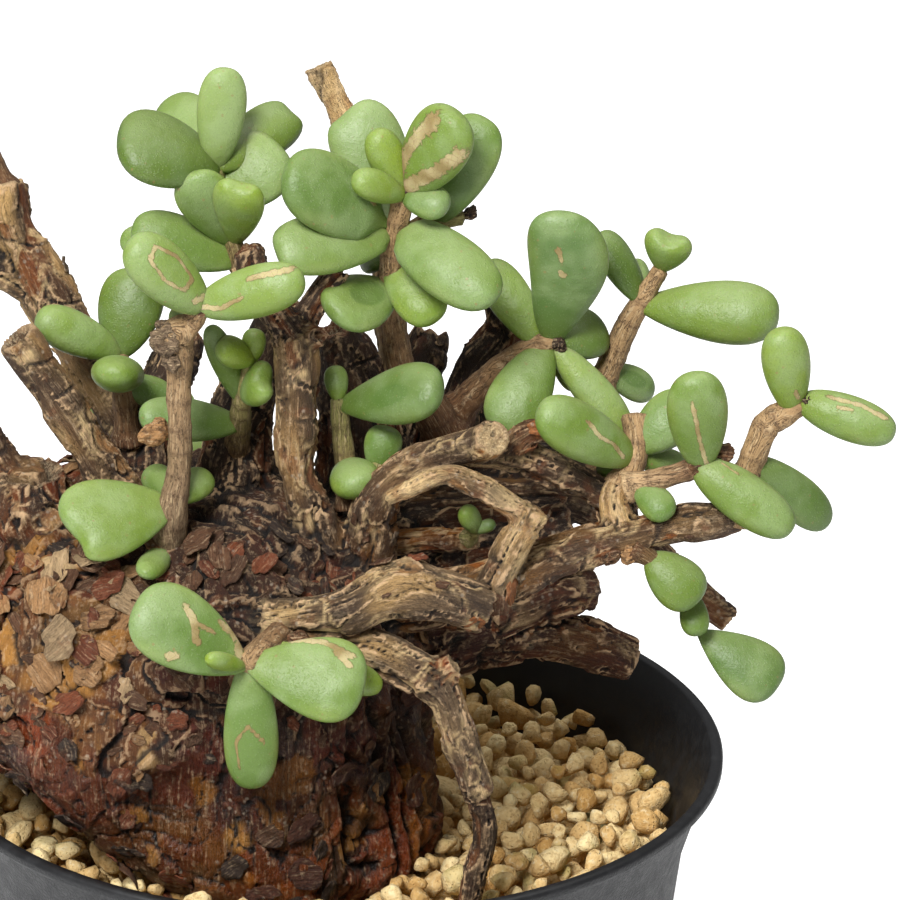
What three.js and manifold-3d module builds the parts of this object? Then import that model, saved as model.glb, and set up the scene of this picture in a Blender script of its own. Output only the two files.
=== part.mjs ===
import * as THREE from 'three';
import { mergeVertices } from 'three/addons/utils/BufferGeometryUtils.js';
import Module from 'manifold-3d';

// A potted Ceraria pygmaea: a swollen caudex with old bare branches, leafy stems with thick
// paired leaves, and round grains of pumice in a black plastic pot.
// Millimetres. The origin is the centre of the pot's flat underside, Z is up, X is to the
// right and Y away from somebody who looks at the front of the plant.

// Driving dimensions
const POT_HEIGHT = 75;
const RIM_RADIUS = 45;
const LIP_WIDTH = 1.4;
const LIP_HEIGHT = 1.0;
const FLARE_RADIUS = 40.8;
const FLARE_DROP = 10.5;
const BASE_RADIUS = 33;
const WALL = 1.1;
const FLOOR = 1.8;
const DRAIN_HOLES = 6;
const DRAIN_RADIUS = 3;
const DRAIN_CIRCLE = 20;
const POT_SIDES = 36;
const POT_EDGE = 1;
const LIP_FLARE = 1.6;
const LIP_FLARE_HEIGHT = 1.4;
const LIP_EDGE = 0.3;
const SHOULDER = 0.4;
const GRAVEL_DROP = 8.5;
const GRAIN_RADIUS = 4.1;
const GRAIN_SPACING = 7.9;
const GRAIN_ROW_PITCH = 0.87;
const GRAIN_JITTER = 1.6;
const GRAIN_LEVEL_JITTER = 0.6;
const GRAIN_SPREAD = 0.3;
const GRAIN_FLATNESS = 0.8;
const PLUG_DROP = 1;
const GAP = 0.3;

// Modelling tolerances: points closer than these are one point
const FINE_WELD = 1e-4;
const SLIVER_WELD = 2e-3;

// Wood: how lumpy each branch is, and how many sides and rings a twig has at least
const BRANCH_KNOTS = 0.12;
const STEM_KNOTS = 0.06;
const BRANCH_SIDES = 6;
const STEM_SIDES = 5;
const FEWEST_RINGS = 4;

// Leaves: how deep the foot sits in its stem, how full a leaf is at its foot and how much
// fuller at its tip, how blunt its two ends are, where the notch in a tip starts, and the
// width from which a leaf gets the finer net of faces
const LEAF_SINK = 0.7;
const LEAF_FOOT_FULLNESS = 0.68;
const LEAF_TIP_GAIN = 0.5;
const LEAF_BLUNTNESS = 0.1;
const NOTCH_START = 0.6;
const NOTCH_HALF_WIDTH = 0.35;
const BROAD_LEAF = 6;
const BROAD_LEAF_NET = [8, 5];
const SMALL_LEAF_NET = [6, 4];

// Which way a leaf turns its broad face when its own turn is zero: up and to the front
const LEAF_FACING = new THREE.Vector3(0, -0.75, 0.66);

// The caudex, ring by ring from its buried root up: x and y of the ring's middle, its height,
// and its half widths along X and Y
const CAUDEX_RINGS = [
  [-3, -4, 53, 7, 7],
  [-4, -5, 60, 13, 13],
  [-5, -7, 67, 17, 19],
  [-10, -6, 74, 21, 22],
  [-15, -5, 81, 26, 23.5],
  [-17.5, -4, 88, 29, 25],
  [-18, -3.5, 95, 28.5, 24],
  [-17, -4, 100, 26, 21],
  [-16, -4, 104, 22, 17],
  [-15, -4, 106.5, 15, 12],
  [-15, -4, 107.5, 7, 6],
];
const CAUDEX_SIDES = 26;
// Its lumps: how many go round it, how much they twist in a millimetre of height, how high
const CAUDEX_LUMPS = [[3, 0.111, 0.05], [7, -0.2, 0.035]];
// Deep vertical cracks on the right of its front: heading in degrees, depth
const CRACKS = [[-52, 2.2], [-38, 3.6], [-26, 2.8]];
const CRACK_HALF_WIDTH = 5;
// The heights between which the cracks begin, and those between which they die out
const CRACK_FOOT = [66, 72];
const CRACK_HEAD = [90, 97];

// Old bare branches: the route of each from its foot up, as x, y, z and radius
const OLD_BRANCHES = {
  farLeftBranch: [
    [-18, 4, 100.5, 3.4], [-23, 7, 110, 2.8], [-28, 9, 118.5, 2.8], [-32, 11, 124.5, 3.2],
    [-35.5, 13, 131, 2.6], [-37, 14, 136.5, 2.3],
  ],
  farLeftFork: [[-32, 11, 124, 2.2], [-39, 12, 128, 2.0], [-44, 13, 132, 1.7], [-48, 13, 133, 1.5]],
  leftStump: [[-20, -5, 99, 3.4], [-24, -5, 108.5, 2.8], [-29.5, -5, 118, 2.4], [-34.5, -5, 125.5, 2.3]],
  leftDeadTwig: [[-33, -6, 106, 2.4], [-36, -4, 110, 2.0], [-39, -3, 116, 1.5], [-38, -3, 121, 1.0]],
  leftBrokenLobe: [[-28, -8, 99, 7.0], [-33, -7, 106, 5.6], [-33.5, -7, 110.5, 4.4]],
  middleTrunk: [
    [-10, -1, 98, 5.5], [-11, 0, 106, 4.8], [-10, 1, 114, 3.8], [-8, 1, 121, 2.8], [-5, 1, 128, 2.0],
  ],
  leftTrunk: [[-20, 1, 99, 4.6], [-21, 3, 107, 3.8], [-19, 5, 115, 3.0], [-16, 6, 122, 2.2]],
  innerTrunk: [
    [0, 2, 98, 6.0], [3, 3, 106, 5.4], [3, 4, 113, 4.8], [1.5, 5, 120, 3.6], [0.5, 5, 123.5, 2.4],
  ],
  rightShoulder: [[-2, -1, 97, 8.0], [10, 0, 98, 6.5], [19, 0, 100, 5.0], [27, 1, 102, 3.2]],
  ringedBranch: [
    [0.5, -9, 97.5, 3.2], [-0.5, -11, 104.5, 2.7], [-3, -11, 111.5, 2.3], [-3.5, -11, 118.5, 2.3],
    [-3.5, -11, 125.5, 2.4], [-4, -11, 129, 2.5],
  ],
  ringedBranchLeftTop: [
    [-4, -11, 128.5, 2.0], [-7, -10, 132.5, 1.9], [-8.5, -10, 136.5, 1.9], [-9, -10, 138.5, 1.5],
  ],
  ringedBranchRightTop: [[-3.5, -10, 128.5, 1.8], [-1.5, -8, 131.5, 1.7], [1, -7, 135, 1.5]],
  ringedBranchStub: [[-3, -11, 128.5, 1.6], [-0.5, -12, 129, 1.2]],
  lowArch: [
    [2.5, -10, 97, 4.0], [4.5, -11, 104.5, 3.1], [6, -12, 111, 2.5], [11.5, -12, 115, 2.0],
    [16.5, -14, 117.5, 1.9], [18, -16, 119, 2.0],
  ],
  lowArchTail: [
    [15.5, -12, 116, 1.9], [21, -9, 114, 2.0], [26.5, -8, 111.5, 2.0], [31.5, -7, 108, 2.0],
    [33, -8, 105, 2.0],
  ],
  lowArchSpur: [[19, -10, 115, 1.6], [22.5, -10, 117.5, 1.6], [25.5, -9, 116.5, 0.9]],
  bleachedTwig: [
    [6.5, -17, 112, 0.9], [9.5, -17, 113.5, 1.1], [13, -17, 115, 1.3], [17, -17, 113.5, 1.5],
    [21, -17.5, 111, 1.6],
  ],
  bleachedElbow: [
    [23, -18, 111.5, 1.6], [21, -18, 108, 2.0], [19, -18, 103.5, 2.0], [18.5, -17, 100, 2.1],
  ],
  tanStub: [[3, -7, 102, 1.7], [11.5, -8, 103.5, 1.5], [17, -9, 104, 1.3]],
  frontArm: [
    [-9, -21, 99, 2.6], [-3.5, -24, 100.5, 2.4], [2, -25, 102, 2.6], [7.5, -24, 104.5, 3.2],
    [12.5, -23, 103.5, 2.9], [17, -21, 101, 2.7],
  ],
  rightArm: [
    [3, -10, 96, 4.0], [10.5, -14, 99, 3.2], [19, -15, 102, 2.7], [25.5, -14, 104.5, 2.4],
    [33.5, -13, 106.5, 2.2], [41, -12, 108, 2.0], [45.5, -11, 108, 1.6],
  ],
  rightArmFork: [[32.5, -13, 106.5, 2.0], [31.5, -11, 110, 1.9], [32.5, -10, 111.5, 1.8]],
  lowStump: [[10.5, -2, 88.5, 5.0], [19.5, 1, 89, 3.7], [27.5, 3, 87.2, 3.0], [34.5, 4, 84.2, 2.6]],
  lowStumpKnuckle: [[18, -1, 91, 3.4], [26, 2, 93.5, 3.0], [30, 3, 93.5, 2.6]],
  hangingArm: [
    [0.5, -22, 96.5, 3.0], [6.5, -25, 97, 2.6], [12.5, -26, 94, 2.3], [14.8, -26, 88.5, 2.0],
    [17.3, -26, 81, 1.8],
  ],
  hangingArmStub: [[11.5, -26, 94.5, 2.0], [14.5, -26, 96.5, 1.5]],
  hangingArmTail: [
    [16.8, -26, 82, 1.5], [18, -26, 76.5, 1.5], [16.8, -26, 70.5, 1.5], [16, -26, 65, 1.5],
  ],
  backDarkBranch: [
    [3, 3, 97, 4.4], [11.5, 6, 101, 3.6], [14, 8, 110, 3.0], [16.5, 9, 117, 2.9], [19.5, 9, 122, 3.0],
    [18, 9, 127.5, 1.6], [17, 9, 129.5, 0.8],
  ],
  backDarkTrunk: [[2, 5, 99, 5.0], [6, 7, 108, 3.6], [9.5, 10, 116.5, 2.8], [11, 12, 120.5, 2.2]],
  backLowTwig: [
    [4, 2, 102, 3.2], [14, 3, 104, 2.6], [26, 4, 103.5, 2.0], [35, 4, 99, 1.9], [41, 3, 93.5, 1.6],
    [45.5, 2, 90, 1.7],
  ],
  backKnot: [
    [4, 6, 99, 4.5], [12, 8, 104, 4.2], [20, 8, 105.5, 3.8], [29, 7, 106, 3.0], [36, 5, 104, 2.0],
  ],
  topBackStub: [
    [5, 8, 104, 3.0], [6.5, 13, 112, 2.2], [6.5, 15, 120, 1.9], [4.5, 16, 132.5, 1.5],
    [0.8, 16, 144.4, 1.55], [-2, 17, 150.2, 1.8],
  ],
  backArm: [[-12, 8, 98, 3.8], [-14, 19, 99, 2.7], [-16, 26, 97, 2.2], [-18, 31, 95, 1.8]],
  backRightArm: [[-2, 8, 95, 3.8], [8, 21, 97, 2.4], [12, 27, 95, 2.0]],
  leftArm: [[-38, -4, 94, 3.4], [-46, -5, 100, 2.6], [-52, -5, 105, 2.2], [-55, -5, 111, 1.8]],
  leftBackArm: [[-34, 8, 96, 3.2], [-42, 15, 101, 2.6], [-48, 20, 105, 2.0]],
};

// Leafy stems. stem: its route, as x, y, z and radius. leaves: how far up the stem each leaf
// sits, x, y and z of its tip, its width, its thickness, how far its broad face is turned
// about its own length in degrees, and how deep its tip is notched as a share of the width
const LEAFY_STEMS = {
  stem_crown: {
    stem: [
      [-7.5, -9, 132, 1.2], [-10, -8, 135.5, 1.1], [-10.5, -8, 138, 1.0], [-12, -7, 142.5, 0.9],
      [-12.5, -7, 146.5, 0.8],
    ],
    leaves: [
      [1, -23, -9, 150.4, 10.4, 4.4, 20, 0],
      [1, -11.5, -6, 157.5, 5.6, 3.2, 10, 0],
      [1, -18, 3, 150.6, 7.0, 3.6, -10, 0],
      [1, -4.1, 2, 150, 6.4, 3.6, 0, 0.12],
      [0.75, -5.9, -4, 148.3, 9.2, 3.6, 0, 0],
      [0.5, -15.1, -11, 147, 6.4, 3.0, -30, 0],
      [0.5, -9.6, -13, 147, 6.0, 3.4, 0, 0.12],
      [0.3, -21.5, -9, 140.1, 6.4, 3.8, 0, 0],
      [0.3, -23, -4, 137, 5.0, 3.2, 0, 0],
    ],
  },
  stem_tan: {
    stem: [
      [-17.5, -15, 103, 2.4], [-17, -17, 109.5, 1.8], [-16, -17, 115, 1.3], [-16, -17, 123, 1.3],
      [-16, -17, 129, 1.5], [-16.5, -17, 130.5, 2.1], [-14.5, -17, 132.5, 1.2],
      [-13.5, -18, 134.5, 1.1],
    ],
    leaves: [
      [1, -21.2, -20, 142.5, 6.6, 4.4, 0, 0],
      [1, -2.5, -20, 138.6, 6.0, 4.4, 10, 0],
      [1, -17, -14, 131.5, 3.0, 2.0, 0, 0],
      [0.18, -28.6, -22, 110, 9.8, 3.2, 0, 0.14],
      [0.05, -19.5, -24, 105.5, 3.4, 2.2, 0, 0],
      [0.2, -19.5, -12, 113, 3.8, 2.6, 0, 0],
      [0.2, -13, -12, 112.5, 4.0, 2.6, 0, 0],
    ],
  },
  stem_left: {
    stem: [[-22.5, 1, 111, 1.4], [-23, 0, 117.5, 1.3], [-23.5, 1, 121.5, 1.0]],
    leaves: [
      [1, -32.5, -1, 126.5, 5.2, 4.2, 0, 0],
      [1, -21.5, 5, 130, 7.6, 3.8, 0, 0],
      [0.7, -23.5, -9, 123, 6.2, 4.4, 0, 0],
      [0.6, -17.5, 2, 115.5, 4.0, 2.6, 0, 0],
    ],
  },
  stem_centre: {
    stem: [
      [13, 1, 112, 2.4], [10.5, 0, 117, 2.0], [8, -1, 121, 1.6], [7, -2, 126, 1.4],
      [6.5, -3, 131.5, 1.3], [7, -4, 138, 1.3], [8, -5, 143, 1.2],
    ],
    leaves: [
      [0.86, -5, -9, 146.7, 9.4, 4.6, 0, 0],
      [0.9, 1.8, 0, 151.7, 8.6, 3.8, 0, 0.1],
      [1, 4.6, -5, 150.3, 4.4, 3.4, 0, 0],
      [1, 2.5, -9, 146, 3.9, 3.2, 0, 0],
      [1, 13.7, -8, 153.4, 7.9, 4.2, 0, 0],
      [1, 12.7, -8, 142.6, 4.2, 3.0, 0, 0],
      [0.84, -6.2, -11, 138.2, 7.4, 3.8, 0, 0.06],
      [0.86, 18, -13, 133.8, 8.0, 4.8, 0, 0],
      [0.72, 11.8, -8, 129.5, 5.8, 3.4, 0, 0],
      [0.66, 0.2, -11, 131.2, 7.6, 3.6, 0, 0],
      [0.8, 3.5, 1, 132.5, 3.6, 2.4, 0, 0],
    ],
  },
  stem_centre_right: {
    stem: [[8, -4, 137.5, 1.1], [10.5, -3, 139, 1.1], [14.5, -2, 139.5, 1.0]],
    leaves: [
      [0.5, 16.8, -1, 150.5, 7.6, 3.6, 0, 0],
    ],
  },
  stem_orange: {
    stem: [[14, 4, 114, 1.8], [19, 0, 121, 1.5], [23, -1, 124, 1.3], [25, -1, 124.5, 0.9]],
    leaves: [
      [0.9, 24.7, -4, 140.9, 9.2, 4.0, 0, 0],
      [0.9, 30.2, 4, 124.5, 6.8, 3.2, 0, 0],
      [0.9, 27.5, 3, 117.5, 3.2, 2.2, 0, 0],
      [0.8, 19, -7, 116, 7.2, 4.0, 0, 0],
      [0.7, 17, 4, 132, 5.2, 3.0, 0, 0],
      [0.9, 33, -4, 115.1, 4.4, 3.4, 0, 0],
    ],
  },
  stem_upright: {
    stem: [
      [31, 0, 109, 1.8], [30.3, 3, 117, 1.55], [31.5, 3, 121.5, 1.4], [33, 3, 125.5, 1.3],
      [34.8, 3, 128.8, 1.1], [36.5, 3, 132, 0.9],
    ],
    leaves: [
      [1, 37.4, 2, 136.6, 5.6, 3.6, 0, 0.12],
      [0.72, 49.5, 0, 127.6, 7.6, 5.6, 0, 0],
      [0.75, 29.6, 6, 135, 4.6, 3.2, 30, 0],
      [0.78, 34, 8, 131, 2.6, 1.8, 40, 0],
      [0.3, 36, 6, 116, 4.2, 2.6, 0, 0],
    ],
  },
  stem_fork: {
    stem: [[32.5, -10, 111, 1.6], [33.5, -9, 113.5, 1.5], [34, -8, 115.5, 1.4], [34, -6, 118, 1.9]],
    leaves: [
      [0.4, 23, -14, 121.5, 6.8, 4.6, 0, 0],
      [0.6, 40, -6, 120, 6.4, 3.6, 0, 0],
      [0.4, 39.5, -4, 111.5, 3.4, 2.4, 0, 0],
      [0.3, 30, -4, 111, 3.2, 2.0, 0, 0],
    ],
  },
  stem_right: {
    stem: [[33, -11, 111.5, 1.4], [37, -12, 113, 1.2], [41, -12, 114.5, 1.1]],
    leaves: [
      [1, 39.8, -14, 126.2, 7.0, 4.4, 0, 0],
      [0.97, 51, -15, 108.2, 6.0, 4.8, 0, 0],
      [0.15, 37.5, -15, 109.6, 4.0, 2.8, 0, 0],
    ],
  },
  stem_far_right: {
    stem: [
      [44.5, -10.5, 107.5, 1.8], [46.5, -10, 114.5, 1.5], [48, -10, 118.5, 1.5], [50, -10, 120, 1.5],
      [52, -10, 121.5, 1.1],
    ],
    leaves: [
      [0.85, 49.2, -11, 130.4, 5.6, 4.4, 0, 0],
      [1, 62, -12, 118.6, 5.4, 4.6, 0, 0],
      [0.25, 55.5, -6, 105.5, 5.4, 3.6, 0, 0],
    ],
  },
  stem_hanging: {
    stem: [[33.5, -14, 105.5, 1.2], [36, -14, 104, 1.0], [40, -12, 99.5, 0.9], [41.5, -12, 94.5, 0.7]],
    leaves: [
      [0.3, 41, -16, 100, 6.2, 3.8, 0, 0],
      [0.7, 41, -15, 95.5, 3.4, 2.6, 0, 0],
      [1, 50.2, -14, 89, 7.2, 3.4, 0, 0],
    ],
  },
  stem_front: {
    stem: [[-4, -24, 99.5, 1.6], [-6.5, -30, 99.5, 1.4], [-8.5, -33, 99, 1.2]],
    leaves: [
      [1, -20, -33, 106, 9.2, 3.6, 0, 0],
      [0.9, 4.7, -34, 97.2, 9.8, 3.6, 0, 0],
      [0.8, -7.4, -33, 84.5, 6.2, 3.6, 0, 0],
      [1, -12.1, -37, 101.6, 2.1, 2.2, 0, 0],
      [0.4, 6.5, -28, 94.5, 4.2, 2.8, 0, 0],
    ],
  },
  stem_young: {
    stem: [[-10.5, -1, 110, 1.5], [-9.5, -8, 119.5, 1.1], [-8.5, -9, 125, 0.9]],
    leaves: [
      [1, -12, -12, 127.5, 3.8, 2.8, 0, 0],
      [1, -8, -9, 128.5, 2.8, 2.0, 0, 0],
      [0.6, -6.3, -12, 124.1, 5.2, 3.0, 0, 0.2],
      [0.5, -13, -11, 129.5, 3.2, 2.4, 0, 0],
      [0.3, -20.5, -12, 119.2, 5.4, 3.4, 0, 0],
    ],
  },
  stem_behind_ringed: {
    stem: [[2.5, -8, 107, 1.3], [1.5, -6, 114.5, 1.1], [1, -6, 119.5, 0.9]],
    leaves: [
      [0.9, 13, -12, 122.7, 7.2, 4.2, 0, 0],
      [0.3, 3.8, -13, 111.5, 5.8, 3.8, 0, 0],
      [1, 0.5, -4, 122.4, 2.8, 2.2, 0, 0],
    ],
  },
  stem_arch_sprig: {
    stem: [[5, -10, 109, 1.2], [5.5, -8, 113, 1.0]],
    leaves: [
      [0.8, 6.5, -7, 116.6, 4.4, 3.0, 0, 0],
    ],
  },
  stem_stub_sprig: {
    stem: [[15.5, -9, 104, 0.9], [16.5, -12, 106.5, 0.7]],
    leaves: [
      [1, 15, -13, 109.5, 2.6, 2.0, 0, 0],
      [1, 18.5, -12.5, 107.5, 1.6, 1.4, 0, 0],
    ],
  },
  stem_far_left_top: {
    stem: [[-37, 14, 135.5, 1.6], [-42, 15, 146, 1.2], [-46, 14, 152, 1.0]],
    leaves: [
      [1, -53, 10, 157, 7.6, 4.0, 0, 0],
      [1, -42, 13, 160, 7.0, 3.6, 10, 0],
      [0.6, -54, 15, 147, 6.4, 3.8, 0, 0],
      [0.6, -44, 22, 155, 6.8, 3.6, 180, 0],
      [0.4, -44, 7, 149, 5.0, 3.2, 0, 0.2],
    ],
  },
  stem_left_fork: {
    stem: [[-46, 13, 132, 1.4], [-50, 13, 136, 1.2], [-52, 12, 140, 1.0]],
    leaves: [
      [1, -60, 9, 146, 7.2, 4.2, 0, 0],
      [1, -49, 7, 149, 6.6, 3.6, 0, 0.2],
      [0.6, -60, 12, 134, 6.4, 4.0, 0, 0],
      [0.5, -46, 20, 141, 6.4, 3.8, 180, 0],
      [0.2, -41, 6, 134, 5.2, 3.6, 0, 0],
    ],
  },
  stem_left_arm: {
    stem: [[-54.5, -5, 109, 1.5], [-55.5, -5, 115, 1.3], [-55, -6, 119, 1.0]],
    leaves: [
      [1, -62, -10, 126, 7.2, 4.2, 0, 0],
      [1, -49, -8, 127, 7.0, 3.8, 0, 0],
      [0.6, -45, -11, 117, 6.6, 4.0, 0, 0],
      [0.6, -60, 3, 121, 6.8, 3.8, 180, 0],
      [0.2, -64, -8, 109, 6.2, 3.8, 0, 0.2],
    ],
  },
  stem_left_back: {
    stem: [[-47, 19, 104.5, 1.5], [-51, 23, 109, 1.2], [-53, 26, 113, 1.0]],
    leaves: [
      [1, -60, 30, 119, 7.0, 4.0, 160, 0],
      [1, -47, 31, 121, 6.8, 3.8, 180, 0.2],
      [0.6, -61, 21, 112, 6.6, 4.0, 90, 0],
      [0.4, -43, 29, 112, 6.0, 3.6, 180, 0],
    ],
  },
  stem_back: {
    stem: [[-17.5, 30, 95.5, 1.4], [-19, 35, 95, 1.1], [-21, 38, 96, 0.9]],
    leaves: [
      [1, -30, 41, 98, 7.6, 4.0, 150, 0],
      [1, -20, 48, 99, 7.2, 3.8, 180, 0.2],
      [0.5, -11, 41, 96, 6.6, 4.0, 180, 0],
      [0.3, -25, 30, 88, 5.8, 3.6, 150, 0],
    ],
  },
  stem_back_right: {
    stem: [[11.5, 26, 95.5, 1.4], [14, 31, 95, 1.1], [15, 34, 96, 0.9]],
    leaves: [
      [1, 10, 44, 98, 7.2, 3.8, 180, 0],
      [1, 22, 40, 96, 7.0, 4.0, 150, 0],
      [0.4, 4, 34, 93, 6.0, 3.6, 180, 0],
    ],
  },
};

const wasm = await Module();
wasm.setup();

// The solid enclosed by a geometry's faces
function solid(geometry, weld = FINE_WELD) {
  const bare = geometry.clone();
  bare.deleteAttribute('normal');
  bare.deleteAttribute('uv');
  const welded = mergeVertices(bare, weld);
  return new wasm.Manifold(new wasm.Mesh({
    numProp: 3,
    vertProperties: new Float32Array(welded.attributes.position.array),
    triVerts: new Uint32Array(welded.index.array),
  }));
}

function geometryOf(manifold) {
  const mesh = manifold.getMesh();
  const geometry = new THREE.BufferGeometry();
  geometry.setAttribute('position', new THREE.BufferAttribute(mesh.vertProperties, 3));
  geometry.setIndex(new THREE.BufferAttribute(mesh.triVerts, 1));
  const faceted = geometry.toNonIndexed();
  faceted.computeVertexNormals();
  return faceted;
}

// The biggest of the separate lumps that a cut leaves, with its finest slivers welded shut
function mainBody(manifold) {
  const biggest = (lumps) => lumps.sort((a, b) => b.volume() - a.volume())[0];
  const welded = solid(geometryOf(biggest(manifold.decompose())), SLIVER_WELD);
  return biggest(welded.decompose());
}

// A repeatable random number between 0 and 1 for each whole number
function scatter(seed) {
  const value = Math.sin(seed * 12.9898 + 4.1414) * 43758.5453;
  return value - Math.floor(value);
}

// Moves each point of a geometry by a rule
function reshape(geometry, rule) {
  const position = geometry.attributes.position;
  const point = new THREE.Vector3();
  for (let i = 0; i < position.count; i += 1) {
    point.fromBufferAttribute(position, i);
    rule(point);
    position.setXYZ(i, point.x, point.y, point.z);
  }
  return geometry;
}

// A value read part of the way along a list, straight between its neighbours
function along(values, share) {
  const place = THREE.MathUtils.clamp(share, 0, 1) * (values.length - 1);
  const first = Math.min(Math.floor(place), values.length - 2);
  return THREE.MathUtils.lerp(values[first], values[first + 1], place - first);
}

// A twig or branch: a tube through the route's points, with the radius of each. Knots makes
// it lumpy, grown widens it all round
function limb(route, { sides = BRANCH_SIDES, knots = 0, grown = 0, seed = 1 } = {}) {
  const curve = new THREE.CatmullRomCurve3(route.map(([x, y, z]) => new THREE.Vector3(x, y, z)));
  const radii = route.map((point) => point[3]);
  const rings = Math.max(route.length - 1, FEWEST_RINGS);
  const frames = curve.computeFrenetFrames(rings);
  const tube = new THREE.CylinderGeometry(1, 1, 1, sides, rings);
  return reshape(tube, (point) => {
    const share = 0.5 - point.y;
    const ring = Math.round(share * rings);
    const side = Math.round((Math.atan2(point.z, point.x) / (2 * Math.PI)) * sides + sides) % sides;
    const lump = 1 + knots * (2 * scatter(seed * 97 + ring * 13 + side * 7) - 1);
    const place = curve.getUtoTmapping(share);
    const reach = Math.hypot(point.x, point.z) * (along(radii, place) * lump + grown);
    const turn = (side / sides) * 2 * Math.PI;
    point.copy(curve.getPoint(place))
      .addScaledVector(frames.normals[ring], reach * Math.cos(turn))
      .addScaledVector(frames.binormals[ring], reach * Math.sin(turn));
  });
}

// A thick leaf from its foot to its tip: narrow at the foot, broadest past the middle
function leaf(foot, [, x, y, z, width, thickness, turn, notch], grown = 0) {
  const length = new THREE.Vector3(x, y, z).distanceTo(foot);
  const lengthwise = new THREE.Vector3(x, y, z).sub(foot).normalize();
  const face = LEAF_FACING.clone()
    .addScaledVector(lengthwise, -LEAF_FACING.dot(lengthwise))
    .normalize()
    .applyAxisAngle(lengthwise, THREE.MathUtils.degToRad(turn));
  const sideways = new THREE.Vector3().crossVectors(lengthwise, face);
  const net = width > BROAD_LEAF ? BROAD_LEAF_NET : SMALL_LEAF_NET;
  return reshape(new THREE.SphereGeometry(1, ...net), (point) => {
    const share = (1 + point.y) / 2;
    const blunt = Math.max(1 - point.y ** 2, 0.05) ** LEAF_BLUNTNESS;
    const swell = (LEAF_FOOT_FULLNESS + LEAF_TIP_GAIN * share) / blunt;
    const middle = Math.exp(-((point.x / NOTCH_HALF_WIDTH) ** 2));
    const dip = notch * width * middle * THREE.MathUtils.smoothstep(share, NOTCH_START, 1);
    const reach = share * (length + LEAF_SINK + grown) - LEAF_SINK - dip;
    const across = point.x * (width / 2 + grown) * swell;
    const out = point.z * (thickness / 2 + grown) * swell;
    point.copy(foot)
      .addScaledVector(lengthwise, reach)
      .addScaledVector(sideways, across)
      .addScaledVector(face, out);
  });
}

function caudex(grown) {
  const rings = CAUDEX_RINGS.length - 1;
  const body = new THREE.CylinderGeometry(1, 1, 1, CAUDEX_SIDES, rings);
  return reshape(body, (point) => {
    const share = 0.5 + point.y;
    const heading = Math.atan2(-point.z, point.x);
    const degrees = THREE.MathUtils.radToDeg(heading);
    const [middleX, middleY, height, halfX, halfY] = [0, 1, 2, 3, 4].map((column) => (
      along(CAUDEX_RINGS.map((ring) => ring[column]), share)));
    const lumps = CAUDEX_LUMPS.reduce((total, [count, twist, high]) => (
      total + high * Math.sin(count * heading + twist * height)), 1);
    const shown = THREE.MathUtils.smoothstep(height, ...CRACK_FOOT)
      * (1 - THREE.MathUtils.smoothstep(height, ...CRACK_HEAD));
    const crack = shown * CRACKS.reduce((deepest, [at, depth]) => (
      Math.max(deepest, depth * Math.exp(-(((degrees - at) / CRACK_HALF_WIDTH) ** 2)))), 0);
    const flat = Math.hypot(point.x, point.z);
    const cap = Math.round(2 * share - 1);
    point.set(
      middleX + flat * Math.cos(heading) * (halfX * lumps + grown - crack),
      middleY + flat * Math.sin(heading) * (halfY * lumps + grown - crack),
      height + (Math.abs(2 * share - 1) > 0.99 ? cap * grown : 0),
    );
  });
}

// All the old wood as one body
function oldWood(grown = 0) {
  const branches = Object.values(OLD_BRANCHES).map((route, index) => (
    solid(limb(route, { knots: BRANCH_KNOTS, grown, seed: index + 1 }))));
  return wasm.Manifold.union([solid(caudex(grown)), ...branches]);
}

// One leafy stem with its leaves as one body
function leafyStem({ stem, leaves }, grown = 0) {
  const curve = new THREE.CatmullRomCurve3(stem.map(([x, y, z]) => new THREE.Vector3(x, y, z)));
  const blades = leaves.map((row) => solid(leaf(curve.getPoint(row[0]), row, grown)));
  const twig = limb(stem, { sides: STEM_SIDES, knots: STEM_KNOTS, grown });
  return wasm.Manifold.union([solid(twig), ...blades]);
}

function pot() {
  const top = POT_HEIGHT;
  const innerRim = RIM_RADIUS - LIP_WIDTH;
  const profile = [
    [0, 0],
    [BASE_RADIUS - POT_EDGE, 0],
    [BASE_RADIUS, POT_EDGE],
    [FLARE_RADIUS, top - FLARE_DROP],
    [RIM_RADIUS - LIP_FLARE, top - LIP_HEIGHT - LIP_FLARE_HEIGHT],
    [RIM_RADIUS, top - LIP_HEIGHT],
    [RIM_RADIUS, top - LIP_EDGE],
    [RIM_RADIUS - LIP_EDGE, top],
    [innerRim, top],
    [FLARE_RADIUS - WALL + SHOULDER, top - FLARE_DROP + POT_EDGE],
    [BASE_RADIUS - WALL, FLOOR + POT_EDGE],
    [BASE_RADIUS - WALL - POT_EDGE, FLOOR],
    [0, FLOOR],
  ].map(([radius, height]) => new THREE.Vector2(radius, height));
  const turned = new THREE.LatheGeometry(profile, POT_SIDES);
  turned.rotateX(Math.PI / 2);
  let body = solid(turned);
  for (let i = 0; i < DRAIN_HOLES; i += 1) {
    const angle = (i / DRAIN_HOLES) * 2 * Math.PI;
    const hole = new THREE.CylinderGeometry(DRAIN_RADIUS, DRAIN_RADIUS, 3 * FLOOR, 12);
    hole.rotateX(Math.PI / 2);
    hole.translate(DRAIN_CIRCLE * Math.cos(angle), DRAIN_CIRCLE * Math.sin(angle), 0);
    body = body.subtract(solid(hole));
  }
  return body;
}

// Radius of the pot's inside at a height
function innerRadius(height) {
  const low = FLOOR + POT_EDGE;
  const high = POT_HEIGHT - FLARE_DROP + POT_EDGE;
  const share = (height - low) / (high - low);
  return THREE.MathUtils.lerp(BASE_RADIUS - WALL, FLARE_RADIUS - WALL + SHOULDER, share);
}

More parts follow.
